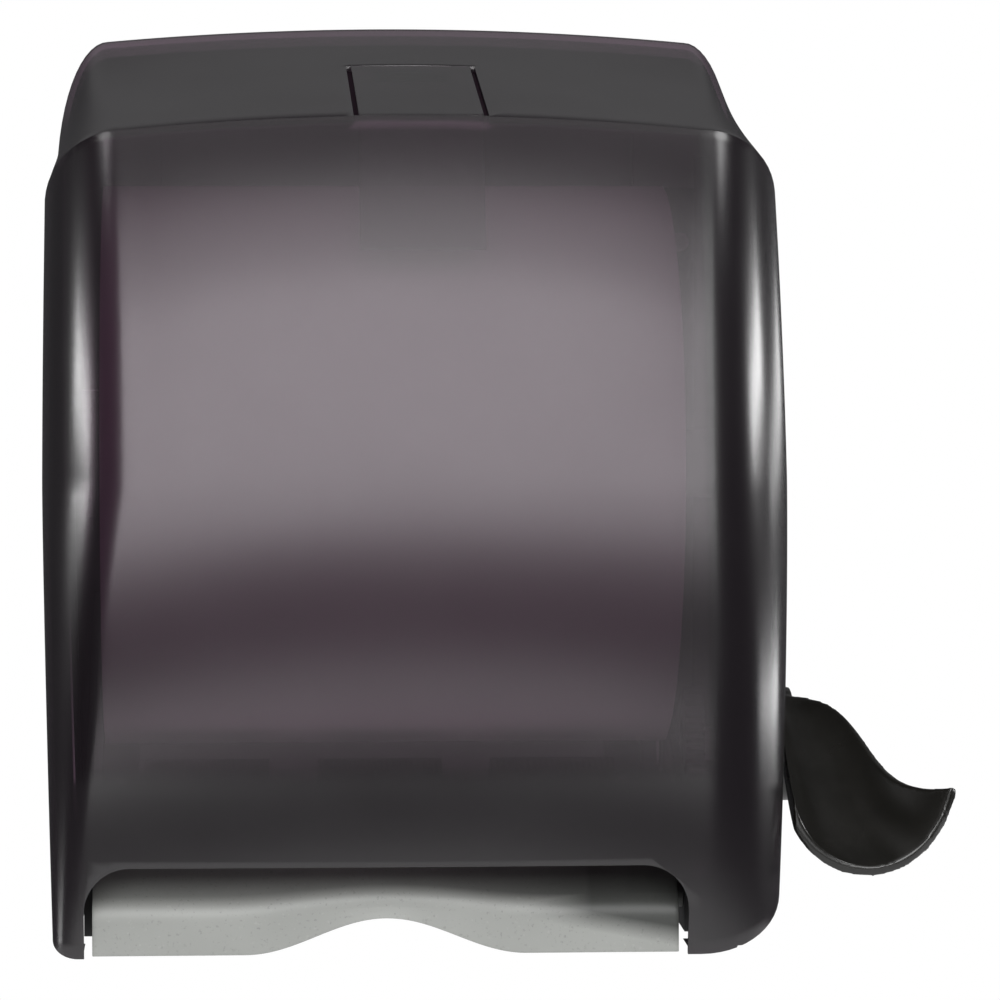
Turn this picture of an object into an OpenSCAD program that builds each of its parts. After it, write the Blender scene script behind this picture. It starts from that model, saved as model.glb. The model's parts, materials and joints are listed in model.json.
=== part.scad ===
// Lever paper towel dispenser for a wall.
// X runs to the right, Y into the wall, Z up. The wall is the plane Y = 0 and the
// origin is the centre of the four wall screws. Inside the modules, heights are
// measured from the bottom edge of the body; from_mount() moves them to the origin.

/* [Body] */
// Width of the cover at its widest
body_w = 263; // [261:1:270]
// How much narrower each side is at the top and along the wall
top_taper = 0.5; // [0:0.25:1.5]
// How much narrower each side is at the bottom
foot_taper = 4; // [2:0.25:4.25]
// Height of the body
body_h = 327; // [324:1:336]
// Depth from the wall to the deepest point of the front
body_d = 234; // [233:1:242]
// Thickness of the cover's wall
wall_t = 2.5; // [2:0.25:2.75]
// Radius of the front's curve, seen from the side
front_arc_r = 412; // [400:4:440]
// Height of the deepest point of the front
front_arc_h = 98; // [90:2:110]
// Slope of the top towards the front, in degrees
top_fall = 10.9; // [10:0.3:12]
// Bulge of the front across its width
front_crown = 5; // [4:0.5:6]
// Extra bulge at the crease between front and top
crease_crown = 4; // [2:0.5:5]
// Radius of the upright front edges, across the width
edge_r = 34; // [30:1:36]
// Depth of the upright front edges over their width
edge_ratio = 1.35; // [1.2:0.05:1.45]
// Radius of the top's side edges, across the width
top_edge_r = 20; // [16:1:24]
// Drop of the top's side edges
top_edge_drop = 55; // [48:1:60]
// Corner radius of the left foot
foot_r_left = 9; // [7:1:11]
// Corner radius of the right foot
foot_r_right = 30; // [22:1:31]

/* [Mouth and chute] */
// Centre of the chute, to the left of the body's centre
chute_x = -11.8; // [-13:0.2:-11]
// Width of the body beyond the chute, both sides together
chute_side = 59; // [57:1:65]
// Height of the mouth in the cover
mouth_h = 32; // [28:1:36]
// Corner radius of the mouth
mouth_r = 16; // [12:1:20]
// Gap between chute and mouth at each side
mouth_gap = 2.7; // [2:0.1:3.2]
// Thickness of the chute's wall
chute_t = 2.5; // [2:0.25:3]
// Height of the bend between the chute's top and its lip
bend_h = 16; // [14:1:18]
// Top of the chute
chute_top_h = 43; // [40:1:46]
// Height of the arch in the lip
arch_h = 12.5; // [10:0.5:13.5]
// Width of the arch in the lip
arch_w = 98; // [80:2:110]

/* [Towel roll] */
// Width of the body beyond the roll, both sides together
roll_side = 59.8; // [59:0.2:65]
// Centre of the roll, to the left of the body's centre
roll_x = -9; // [-9.6:0.1:-8.6]
// Inside diameter of the core
core_id = 38.1; // [36:0.5:42]
// Thickness of the core
core_t = 1.2; // [0.8:0.2:2]
// Gap between the roll and its hubs' flanges
roll_gap = 0.6; // [0.4:0.1:1]
// Space between the roll and the front of the cover
roll_front_gap = 11.5; // [11.5:0.5:12.5]
// Space between the roll and the back plate
roll_back_gap = 6.8; // [6.2:0.2:8]
// Space between the full roll and the feed roller
roll_feed_gap = 8.5; // [7.75:0.25:15]

/* [Drive] */
// Module of the gear teeth
gear_module = 1.5; // [1.4:0.05:1.55]
// Teeth of the pinion on the feed roller
pinion_teeth = 14; // [14:1:15]
// Turns of the pinion for one turn of the lever
drive_ratio = 4; // [4:1:4]
// Slack between meshing teeth
backlash = 0.3; // [0.2:0.05:0.4]
// Width of the gear faces
gear_w = 7; // [5:1:9]
// Diameter of the feed roller's rubber sleeves
feed_d = 32; // [28:1:33]
// Diameter of the feed shaft
feed_shaft_d = 8; // [6:1:9]
// Diameter of the pinch roller's sleeves
pinch_d = 16; // [14:1:17]
// Diameter of the pinch shaft
pinch_shaft_d = 6; // [5:1:7]
// Diameter of the lever's shaft
lever_shaft_d = 12; // [10:1:13]
// Distance of the lever's shaft from the wall
lever_y = 100; // [98:1:104]
// Height of the lever's shaft
lever_h = 60; // [58:1:63]
// Height of the crank's head above the shaft
crank_l = 68; // [60:1:72]

/* [Lever paddle] */
// Reach of the paddle beyond the side of the cover
paddle_reach = 57; // [50:1:60]
// Thickness of the paddle
paddle_t = 4; // [3:0.25:5]
// Radius of the paddle's hub
hub_r = 21; // [18:1:22]

/* [Back plate and mounting] */
// Thickness of the back plate
plate_t = 3; // [2.5:0.25:3.5]
// Depth of the back plate's rim
rim_depth = 14; // [11:1:15]
// Spacing of the wall screws across
screw_dx = 150; // [130:5:170]
// Spacing of the wall screws up
screw_dz = 150; // [140:5:160]
// Radius of the wall screw holes
screw_hole_r = 3.2; // [2.6:0.1:3.6]
// Height of the wall screws' centre above the bottom edge
mount_h = 168; // [160:1:172]

/* [Latch] */
// Centre of the latch, right of the body's centre
latch_x = 2; // [0:0.5:4]
// Width of the push button
button_w = 44; // [40:1:48]
// Slot at each side of the button
button_slot = 1.8; // [1.4:0.1:2.2]
// Distance of the button's rear end from the wall
button_rear = 82; // [78:1:86]
// Length of the tongue behind the front
tongue_l = 48; // [40:1:52]

/* [Hidden] */
$fn = 48;

// Clearances
seat = 0.3;      // between a piece and its seat
flush = 0.15;    // between faces that meet
running = 0.05;  // radial, shaft in bush
rim_gap = 1.2;   // back plate's rim to cover
eps = 0.01;
cut = 2;         // overshoot of a cut

// Colours
c_smoke = [0.25, 0.23, 0.25];
c_dark = [0.13, 0.13, 0.13];
c_grey = [0.62, 0.63, 0.61];
c_speckle = [0.70, 0.71, 0.68];
c_steel = [0.75, 0.75, 0.74];
c_paper = [0.90, 0.89, 0.87];
c_card = [0.62, 0.50, 0.36];
c_rubber = [0.20, 0.20, 0.20];

// ---- General helpers ----
function lerp(a, b, t) = a + (b - a) * t;
function clamp01(t) = max(0, min(1, t));

module from_mount() translate([0, 0, -mount_h]) children();

// A flat outline in (Y, height), from x0 to x1
module side_plate(x0, x1)
    translate([x0, 0, 0]) rotate([90, 0, 90]) linear_extrude(x1 - x0) children();

// A round bar along X
module rod_x(x0, x1, y, h, r)
    side_plate(x0, x1) translate([y, h]) circle(r);

module at_yz(y, h) translate([y, h]) children();

// A tube of radius r swept along points, with its frames kept level with up
function unit(v) = v / norm(v);
function tangent(p, i) =
    unit(p[min(i + 1, len(p) - 1)] - p[max(i - 1, 0)]);
function ring_at(c, dir, up, r, sides) =
    let (a = unit(cross(dir, up)), b = cross(a, dir))
    [for (k = [0 : sides - 1]) c + r * (cos(360 * k / sides) * a + sin(360 * k / sides) * b)];
module swept_tube(path, r, sides, up) {
    n = len(path);
    points = [for (i = [0 : n - 1]) each ring_at(path[i], tangent(path, i), up, r, sides)];
    walls = [for (i = [0 : n - 2]) for (k = [0 : sides - 1]) let (m = (k + 1) % sides)
        each [[i * sides + k, i * sides + m, (i + 1) * sides + m],
              [i * sides + k, (i + 1) * sides + m, (i + 1) * sides + k]]];
    ends = [for (k = [1 : sides - 2])
        each [[0, k + 1, k], [(n - 1) * sides, (n - 1) * sides + k, (n - 1) * sides + k + 1]]];
    polyhedron(points, concat(walls, ends), convexity = 10);
}

// ---- The cover's form ----
// Every cross-section stands on a spine that runs along X on the wall plane. Its plane
// tilts by phi: -90 points down, 0 forwards, 90 up.
spine_h = body_h / 2;
half_w = body_w / 2;
end_w = half_w - top_taper;
foot_w = half_w - foot_taper;
slope = tan(top_fall);
arc_q = body_d - front_arc_r;      // centre of the front's arc, forwards of the wall
arc_v = front_arc_h - spine_h;     // and above the spine
front_steps = 16;
top_steps = 9;
foot_steps = 6;
corner_steps = 6;
face_steps = 4;
side_bow = 0.4;      // outward bow of the flat sides
flat_from = 60;      // tilt below which the foot's corners tighten
flat_over = 24;
foot_r_back = 4;     // their radius at the wall
least_r = 0.3;

// Forward distance of the crease, where the front's arc meets the sloping top
function crease_q(inset) =
    let (r = front_arc_r - inset, rise = top_line(inset) - arc_v,
         a = 1 + slope * slope, b = arc_q + slope * rise,
         c = arc_q * arc_q + rise * rise - r * r)
    (b + sqrt(b * b - a * c)) / a;
function top_line(inset) = spine_h - inset * sqrt(1 + slope * slope);
function crease_phi(inset) =
    let (q = crease_q(inset)) atan2(top_line(inset) - slope * q, q);
function bottom_q(inset) =
    let (v = -spine_h + inset - arc_v, r = front_arc_r - inset) arc_q + sqrt(r * r - v * v);
function foot_phi(inset) = atan2(inset - spine_h, bottom_q(inset));

function arc_reach(phi, inset) =
    let (b = arc_q * cos(phi) + arc_v * sin(phi), r = front_arc_r - inset,
         c = arc_q * arc_q + arc_v * arc_v - r * r)
    b + sqrt(b * b - c);
function reach(phi, inset) =
    phi >= crease_phi(inset) ? top_line(inset) / (sin(phi) + slope * cos(phi))
    : phi <= foot_phi(inset) ? (inset - spine_h) / sin(phi)
    : arc_reach(phi, inset);

function side_w(phi) = phi >= 0 ? lerp(half_w, end_w, pow(sin(phi), 2))
    : lerp(half_w, foot_w, pow(clamp01(phi / foot_phi(0)), 1.2));
function crown(phi) = phi > 0 ? front_crown + crease_crown * sin(2 * phi)
    : front_crown * max(0, 1 - pow(phi / foot_phi(0), 2));
function foot_r(phi, side) =
    lerp(side < 0 ? foot_r_left : foot_r_right, foot_r_back,
         clamp01((-phi - flat_from) / flat_over));
function corner_x(phi, side) = phi >= 0 ? lerp(edge_r, top_edge_r, pow(sin(phi), 2))
    : lerp(edge_r, foot_r(phi, side), clamp01(phi / foot_phi(0)));
function corner_q(phi, side) =
    phi >= 0 ? lerp(edge_r * edge_ratio, top_edge_drop, pow(sin(phi), 2))
    : corner_x(phi, side) * lerp(edge_ratio, 1.1, clamp01(phi / foot_phi(0)));

// Half of a cross-section, from the spine out to the middle of the face, as [x, reach]
function half_section(phi, inset, side) =
    let (w = side_w(phi) - inset, rx = max(least_r, corner_x(phi, side) - inset),
         ry = max(least_r, corner_q(phi, side) - inset), r = reach(phi, inset),
         edge = r - crown(phi))
    concat(
        [for (t = [0.3, 0.65])
            [side * (lerp(end_w - inset, w, t) + side_bow * (1 - t * t)), (edge - ry) * t]],
        [for (i = [0 : corner_steps]) let (a = 90 * i / corner_steps)
            [side * (w - rx + rx * cos(a)), edge - ry + ry * sin(a)]],
        [for (i = [1 : face_steps - 1]) let (u = 1 - i / face_steps)
            [side * (w - rx) * u, edge + crown(phi) * (1 - u * u)]]);
function reversed(list) = [for (i = [len(list) - 1 : -1 : 0]) list[i]];
function section(phi, inset) =
    concat(half_section(phi, inset, 1), [[0, reach(phi, inset)]],
           reversed(half_section(phi, inset, -1)));
function tilts(inset) = concat(
    [for (i = [0 : foot_steps - 1]) lerp(-90, foot_phi(inset), i / foot_steps)],
    [for (i = [0 : front_steps - 1]) lerp(foot_phi(inset), crease_phi(inset), i / front_steps)],
    [for (i = [0 : top_steps]) lerp(crease_phi(inset), 90, i / top_steps)]);

// The cover as one closed shell: the outer face, the inner face and the rim on the wall
function form_points(inset) = concat(
    [for (phi = tilts(inset)) for (p = section(phi, inset))
        [p[0], -p[1] * cos(phi), spine_h + p[1] * sin(phi)]],
    [[end_w - inset + side_bow, 0, spine_h], [inset - end_w - side_bow, 0, spine_h]]);
module cover_form() {
    n = len(tilts(0));
    m = len(section(0, 0));
    right = n * m;
    left = right + 1;
    skin = [for (i = [0 : n - 2]) for (j = [0 : m - 2])
        each [[i * m + j, (i + 1) * m + j, (i + 1) * m + j + 1],
              [i * m + j, (i + 1) * m + j + 1, i * m + j + 1]]];
    sides = [for (i = [0 : n - 2])
        each [[right, (i + 1) * m, i * m],
              [left, i * m + m - 1, (i + 1) * m + m - 1]]];
    outer = concat(skin, sides);
    inner = [for (f = outer) [for (v = reversed(f)) v + left + 1]];
    loop = concat([right], [for (j = [0 : m - 1]) j], [left],
                  [for (j = [m - 1 : -1 : 0]) (n - 1) * m + j]);
    rim = [for (i = [0 : len(loop) - 1])
        let (a = loop[i], b = loop[(i + 1) % len(loop)], c = b + left + 1, d = a + left + 1)
        each [[a, b, c], [a, c, d]]];
    faces = concat(outer, inner, rim);
    polyhedron(concat(form_points(0), form_points(wall_t)), [for (f = faces) reversed(f)],
               convexity = 10);
}

// The outline of the cover's inside on the wall plane, moved in by inset
module back_outline(inset, drop)
    polygon(concat(
        [for (p = section(90, inset)) [p[0], spine_h + p[1] - drop]],
        reversed([for (p = section(-90, inset)) [p[0], spine_h - p[1]]])));

// ---- Places that several pieces share ----
hinge_y = -12;
hinge_h = 10;
hinge_pin_r = 2.5;
lug_r = 5;
lug_out = foot_w - wall_t - seat;
lug_t = 4;
ear_t = 5;
ear_gap = 0.5;

chute_w = body_w - chute_side;
roll_w = body_w - roll_side;
frame_t = 3;
frame_left = chute_x - chute_w / 2 - 0.4;                 // inner face, left
frame_right = max(chute_x + chute_w / 2 + 4.3, roll_x + roll_w / 2 + 1.9);
gear_plate_x = frame_right + frame_t + gear_w + 10.5;     // inner face
gear_x = frame_right + frame_t + 2;

roll_room = body_d - wall_t - front_crown - crease_crown / 2 - plate_t;
roll_d = roll_room - roll_front_gap - roll_back_gap;      // a full roll fills the room it has
roll_y = -(plate_t + roll_back_gap + roll_d / 2);
roll_left = roll_x - roll_w / 2;
roll_right = roll_x + roll_w / 2;
core_r = core_id / 2;
hub_grip = 8.5;          // length of hub inside the core
hub_flange_t = 2.5;
hub_flange_r = 26;

shaft_y = -lever_y;
mesh_angle = 16.6;       // the pinion lies this far below the level of the lever's shaft
sector_teeth = pinion_teeth * drive_ratio;
gear_distance = gear_module * (pinion_teeth + sector_teeth) / 2;
feed_y = shaft_y - gear_distance * cos(mesh_angle);
feed_h = lever_h - gear_distance * sin(mesh_angle);
nip_angle = 35;          // the pinch roller lies behind and below the feed roller
nip_gap = 0.4;
nip = (feed_d + pinch_d) / 2 + nip_gap;
pinch_y = feed_y + nip * cos(nip_angle);
pinch_h = feed_h - nip * sin(nip_angle);
roll_feed = (roll_d + feed_d) / 2 + roll_feed_gap;        // between the two axes
roll_h = feed_h + sqrt(pow(roll_feed, 2) - pow(roll_y - feed_y, 2));
bush_wall = 2;
bush_flange = 1.5;

lip_y = -(bottom_q(0) - 6);      // front face of the chute's lip
chute_left = chute_x - chute_w / 2;
chute_right = chute_x + chute_w / 2;
web_back = 26;                   // length of the chute's end webs

crank_x = gear_plate_x + frame_t + 1;
crank_t = 6;
crank_w = 12;
crank_head_r = 14;
spring_x = gear_plate_x + frame_t + 5.2;
spring_r = 3.8;
spring_wire = 1.4;
spring_turns = 9;
spring_h = lever_h + crank_l;
anchor_y = -28;
anchor_r = 4;

cover_side = half_w;
paddle_x = cover_side + 1.6;     // inner face of the paddle's hub
hub_l = 9;

pivot_y = -(button_rear - 4);
pivot_r = 1.5;
top_out = body_h - slope * (button_rear - 4);   // cover's top above the pivot
pivot_h = top_out - 8;
button_out = button_w / 2;

// ---- Housing ----
rim_out = wall_t + rim_gap;
rim_t = 2.5;
rim_drop = slope * rim_depth;
rim_from = 30;         // the rim starts above the hinge
rib_w = 2.5;
rib_depth = 12;

module back_plate() color(c_grey) difference() {
    union() {
        plate_ring(plate_t, false);
        intersection() {
            plate_ring(rim_depth, true);
            translate([-body_w, -body_d, rim_from]) cube([2 * body_w, 2 * body_d, body_h]);
        }
        for (s = [-1, 1]) {
            hinge_ear(s);
            translate([s * (rib_x - rib_w / 2) - (s < 0 ? rib_w : 0), -rib_depth, rib_from])
                cube([rib_w, rib_depth, rib_top - rib_from]);
        }
    }
    for (x = [-1, 1], z = [-1, 1])
        translate([x * screw_dx / 2, cut, mount_h + z * screw_dz / 2])
            rotate([90, 0, 0]) cylinder(r = screw_hole_r, h = plate_t + 2 * cut);
    for (s = [-1, 1])
        rod_x(s * ear_in - (s < 0 ? ear_t : 0) - cut, s * ear_in + (s < 0 ? 0 : ear_t) + cut,
              hinge_y, hinge_h, hinge_pin_r + flush);
    for (s = [-1, 1])
        translate([s > 0 ? heel_x : -heel_x - heel_w, -plate_t - cut, -cut])
            cube([heel_w, plate_t + 2 * cut, heel_h + cut]);
}
rib_x = 92;
rib_from = 205;
rib_top = body_h - 40;
ear_in = lug_out - lug_t - ear_gap - ear_t;
heel_x = ear_in + ear_t + ear_gap;   // the plate's lower corners stop here, clear of the cover
heel_w = 10;
heel_h = 22;
module plate_ring(depth, hollow)
    rotate([90, 0, 0]) linear_extrude(depth) difference() {
        back_outline(rim_out, rim_drop);
        if (hollow) back_outline(rim_out + rim_t, rim_drop);
    }
module hinge_ear(s)
    side_plate(s * ear_in - (s < 0 ? ear_t : 0), s * ear_in + (s < 0 ? 0 : ear_t)) {
        at_yz(hinge_y, hinge_h) circle(lug_r);
        at_yz(hinge_y, hinge_h - lug_r) square([-hinge_y - eps, 2 * lug_r]);
    }

module cover_hinge_pins() color(c_steel) for (s = [-1, 1]) {
    inner = ear_in - 1;
    outer = lug_out - 0.2;
    rod_x(s > 0 ? inner : -outer, s > 0 ? outer : -inner, hinge_y, hinge_h, hinge_pin_r);
}

// Side frames: a plate with a foot against the back plate
frame_front = lip_y + web_back;
flange_w = 14;
flange_screws = [34, 92];
module frame_outline() polygon([
    [-plate_t - flush, 22], [hinge_y - lug_r - 8, 20], [-150, 3.2], [frame_front, 3.2],
    [frame_front, 30], [-172, 50], [-112, 76], [-60, 96], [-plate_t - flush, 110],
]);
module frame_foot(x0, flip)
    difference() {
        translate([flip ? x0 - flange_w : x0, -plate_t - flush - frame_t, 22])
            cube([flange_w, frame_t, 86]);
        for (h = flange_screws)
            translate([x0 + (flip ? -1 : 1) * flange_w / 2, 0, h]) rotate([90, 0, 0])
                cylinder(r = 2, h = 20);
    }
module left_side_frame() color(c_dark) {
    difference() {
        side_plate(frame_left - frame_t, frame_left) frame_outline();
        bush_hole(frame_left - frame_t, feed_y, feed_h, feed_shaft_d);
        bush_hole(frame_left - frame_t, pinch_y, pinch_h, pinch_shaft_d);
    }
    frame_foot(frame_left - eps, false);
}
module right_side_frame() color(c_dark) {
    difference() {
        side_plate(frame_right, frame_right + frame_t) frame_outline();
        bush_hole(frame_right, feed_y, feed_h, feed_shaft_d);
        bush_hole(frame_right, pinch_y, pinch_h, pinch_shaft_d);
        bush_hole(frame_right, shaft_y, lever_h, lever_shaft_d);
    }
    frame_foot(frame_right + eps, true);
}
module bush_hole(x, y, h, shaft_d)
    rod_x(x - cut, x + frame_t + cut, y, h, shaft_d / 2 + bush_wall + flush);

// A flanged bush through a plate whose faces are at x and x + frame_t. The flange is on
// the side that dir points to.
module bush(x, y, h, shaft_d, dir)
    difference() {
        union() {
            rod_x(x, x + frame_t, y, h, shaft_d / 2 + bush_wall);
            rod_x(dir > 0 ? x + frame_t + flush : x - flush - bush_flange,
                  dir > 0 ? x + frame_t + flush + bush_flange : x - flush,
                  y, h, shaft_d / 2 + bush_wall + 2);
            rod_x(x - (dir > 0 ? 0 : flush + eps), x + frame_t + (dir > 0 ? flush + eps : 0),
                  y, h, shaft_d / 2 + bush_wall);
        }
        rod_x(x - cut - 2, x + frame_t + cut + 2, y, h, shaft_d / 2 + running);
    }
module feed_bushes() color(c_grey) {
    bush(frame_left - frame_t, feed_y, feed_h, feed_shaft_d, 1);
    bush(frame_right, feed_y, feed_h, feed_shaft_d, -1);
    bush(gear_plate_x, feed_y, feed_h, feed_shaft_d, -1);
}
module pinch_bushes() color(c_grey) {
    bush(frame_left - frame_t, pinch_y, pinch_h, pinch_shaft_d, 1);
    bush(frame_right, pinch_y, pinch_h, pinch_shaft_d, -1);
}
module lever_bushes() color(c_grey) {
    bush(frame_right, shaft_y, lever_h, lever_shaft_d, -1);
    bush(gear_plate_x, shaft_y, lever_h, lever_shaft_d, -1);
}

// The tall plate outside the gears, which also carries the right-hand roll hub
gear_plate_top = 268;
hub_seat_r = 9;
gear_plate_screws = [150, 245];
module gear_plate_outline() polygon([
    [-plate_t - flush, 42], [-150, 24], [-176, 34], [-180, 60], [-176, 150], [-156, 230],
    [-112, gear_plate_top], [-60, gear_plate_top + 8], [-plate_t - flush, gear_plate_top + 10],
]);
module gear_plate() color(c_dark) {
    difference() {
        side_plate(gear_plate_x, gear_plate_x + frame_t) gear_plate_outline();
        bush_hole(gear_plate_x, feed_y, feed_h, feed_shaft_d);
        bush_hole(gear_plate_x, shaft_y, lever_h, lever_shaft_d);
        rod_x(gear_plate_x - cut, gear_plate_x + frame_t + cut, roll_y, roll_h, hub_seat_r + flush);
    }
    difference() {
        translate([gear_plate_x - gear_flange_w + eps, -plate_t - flush - frame_t, 128])
            cube([gear_flange_w, frame_t, 138]);
        for (h = gear_plate_screws)
            translate([gear_plate_x - gear_flange_w / 2, 0, h]) rotate([90, 0, 0])
                cylinder(r = 2, h = 20);
    }
    rod_x(gear_plate_x + frame_t - eps, spring_x + 3, anchor_y, spring_h, anchor_r);
}
gear_flange_w = 12;

module pan_screw(x, h) {
    head_y = -plate_t - flush - frame_t - flush;
    translate([x, head_y, h]) rotate([90, 0, 0]) difference() {
        cylinder(r = 3.6, h = 2);
        translate([-0.5, -4, 1.2]) cube([1, 8, 2]);
    }
    translate([x, head_y + eps, h]) rotate([-90, 0, 0])
        cylinder(r = 1.8, h = frame_t + flush);
}
module frame_screws() color(c_steel) {
    for (h = flange_screws) {
        pan_screw(frame_left + flange_w / 2, h);
        pan_screw(frame_right - flange_w / 2, h);
    }
    for (h = gear_plate_screws) pan_screw(gear_plate_x - gear_flange_w / 2, h);
}

// ---- Paper path ----
chute_top_y = lip_y + (chute_top_h - bend_h) * 1.15;
module chute() color(c_speckle) difference() {
    union() {
        side_plate(chute_left, chute_right) chute_profile();
        for (x = [chute_left, chute_right - chute_t])
            side_plate(x, x + chute_t) chute_web();
        side_plate(chute_right - eps, frame_right - flush) at_yz(lip_y + 34, 16) circle(5);
        side_plate(frame_left + flush, chute_left + eps) at_yz(lip_y + 34, 16) circle(5);
    }
    translate([chute_x, lip_y + chute_t + cut, 0]) rotate([90, 0, 0])
        linear_extrude(2 * cut + chute_t) arch();
    for (x = tear_screw_xs) on_slope(x, tear_screw_up)
        translate([0, 0, -cut]) cylinder(r = tear_screw_r + flush, h = cut + 1.6);
}
module chute_profile() polygon([
    [lip_y, 0], [lip_y, bend_h - 3], [lip_y + 0.9, bend_h - 0.8], [lip_y + 2.6, bend_h + 1],
    [chute_top_y, chute_top_h], [chute_top_y + chute_t, chute_top_h - 1],
    [lip_y + 4.2, bend_h - 0.9], [lip_y + chute_t, bend_h - 3.4], [lip_y + chute_t, 0],
]);
module chute_web() polygon([
    [lip_y + 0.5, 0.5], [lip_y + 0.5, bend_h - 3], [lip_y + 2.8, bend_h + 0.8],
    [chute_top_y, chute_top_h - 1], [chute_top_y + 7, chute_top_h - 6],
    [lip_y + web_back + 14, 22], [lip_y + web_back + 14, 9], [lip_y + web_back, 4],
]);
arch_steps = 24;
module arch() polygon(concat(
    [[-arch_w / 2, -cut], [arch_w / 2, -cut]],
    [for (i = [0 : arch_steps]) let (u = 1 - 2 * i / arch_steps)
        [u * arch_w / 2, arch_h * (1 + cos(180 * u)) / 2 + eps]]));

// The tear bar lies against the underside of the chute's sloping top. On the slope, the
// first axis runs along X, the second up the slope and the third away from the paper.
slope_low = [lip_y + 4.2, bend_h - 0.9];
slope_high = [chute_top_y + chute_t, chute_top_h - 1];
slope_a = atan2(slope_high[1] - slope_low[1], slope_high[0] - slope_low[0]);
module on_slope(x, up)
    translate([0, slope_low[0], slope_low[1]]) rotate([slope_a, 0, 0]) translate([x, up, 0])
        children();
tear_t = 1;
tear_pitch = 4;
tear_tooth = 3;
tear_tip = 0.2;
tear_back = 12;
tear_screw_r = 1.5;
tear_screw_up = 7;
tear_screw_xs = [for (u = [-0.42, 0.42]) chute_x + u * chute_w];
tear_left = chute_left + chute_t + seat;
tear_right = chute_right - chute_t - seat;
tear_count = floor((tear_right - tear_left) / tear_pitch);
module tear_bar() color(c_steel) difference() {
    on_slope(0, tear_tip) translate([0, 0, -flush - tear_t]) linear_extrude(tear_t)
        polygon(concat(
            [[tear_left, tear_back], [tear_left, tear_tooth]],
            [for (i = [0 : tear_count - 1]) each
                [[tear_left + i * tear_pitch, tear_tooth],
                 [tear_left + (i + 0.5) * tear_pitch, 0]]],
            [[tear_left + tear_count * tear_pitch, tear_tooth], [tear_right, tear_tooth],
             [tear_right, tear_back]]));
    for (x = tear_screw_xs) on_slope(x, tear_screw_up)
        translate([0, 0, -cut - tear_t]) cylinder(r = tear_screw_r + flush, h = 2 * cut);
}
module tear_bar_screws() color(c_steel) for (x = tear_screw_xs) on_slope(x, tear_screw_up) {
    translate([0, 0, -2 * flush - tear_t - 1.6]) cylinder(r = 3, h = 1.6);
    translate([0, 0, -2 * flush - tear_t - eps])
        cylinder(r = tear_screw_r, h = tear_t + 2 * flush + 1.4);
}

guide_t = 2;
guide_front = [lip_y + web_back + 16, 14];
guide_bend = guide_front + [10, 3];
guide_back = [pinch_y + 20, pinch_h - 5];
module paper_guide() color(c_dark)
    side_plate(frame_left + flush, frame_right - flush) polygon([
        guide_back, [pinch_y + 3, pinch_h - 15], guide_bend - [0, guide_t],
        guide_front - [0, guide_t], guide_front, guide_bend,
        [pinch_y + 2, pinch_h - 15 + guide_t], guide_back + [-1.5, 1.5],
    ]);

// ---- Gears ----
addendum = 0.8;
dedendum = 1.05;
pressure = 20;
flank_steps = 4;
function involute(a) = tan(a) * 180 / PI - a;
function flank_angle(r, pitch_r, base_r, teeth) =
    let (half = 90 / teeth - backlash / 2 / pitch_r * 90 / PI,
         a = r > base_r ? acos(base_r / r) : 0)
    half + involute(pressure) - involute(a);
function polar(r, a) = [r * cos(a), r * sin(a)];
function tooth(teeth, centre) =
    let (pitch_r = gear_module * teeth / 2, base_r = pitch_r * cos(pressure),
         root = pitch_r - dedendum * gear_module, tip = pitch_r + addendum * gear_module,
         low = max(root, base_r),
         radii = [for (i = [0 : flank_steps]) lerp(low, tip, i / flank_steps)])
    concat(
        [polar(root, centre - flank_angle(low, pitch_r, base_r, teeth))],
        [for (r = radii) polar(r, centre - flank_angle(r, pitch_r, base_r, teeth))],
        reversed([for (r = radii) polar(r, centre + flank_angle(r, pitch_r, base_r, teeth))]),
        [polar(root, centre + flank_angle(low, pitch_r, base_r, teeth))]);
module gear_outline(teeth, first, last, start, closed)
    polygon(concat(closed ? [] : [[0, 0]],
        [for (i = [first : last]) each tooth(teeth, start + 360 * i / teeth)]));

gear_dir = 180 + mesh_angle;      // from the lever's shaft to the pinion, in (Y, height)
sector_first = -8;
sector_last = 2;
sector_hub_r = 11;
pinion_hub_r = 7;
module sector_gear() color(c_grey) difference() {
    side_plate(gear_x, gear_x + gear_w) at_yz(shaft_y, lever_h) {
        gear_outline(sector_teeth, sector_first, sector_last, gear_dir, false);
        circle(sector_hub_r);
    }
    rod_x(gear_x - cut, gear_x + gear_w + cut, shaft_y, lever_h, lever_shaft_d / 2 + running);
    for (a = [12, 32])
        rod_x(gear_x - cut, gear_x + gear_w + cut,
              shaft_y + 25 * cos(gear_dir - a), lever_h + 25 * sin(gear_dir - a), 5);
}
module pinion() color(c_steel) difference() {
    union() {
        side_plate(gear_x, gear_x + gear_w) at_yz(feed_y, feed_h)
            gear_outline(pinion_teeth, 0, pinion_teeth - 1,
                         gear_dir + 180 + 180 / pinion_teeth, true);
        rod_x(gear_x + gear_w - eps, gear_plate_x - flush - bush_flange - seat,
              feed_y, feed_h, pinion_hub_r);
    }
    rod_x(gear_x - cut, gear_plate_x, feed_y, feed_h, feed_shaft_d / 2 + running);
}

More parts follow.
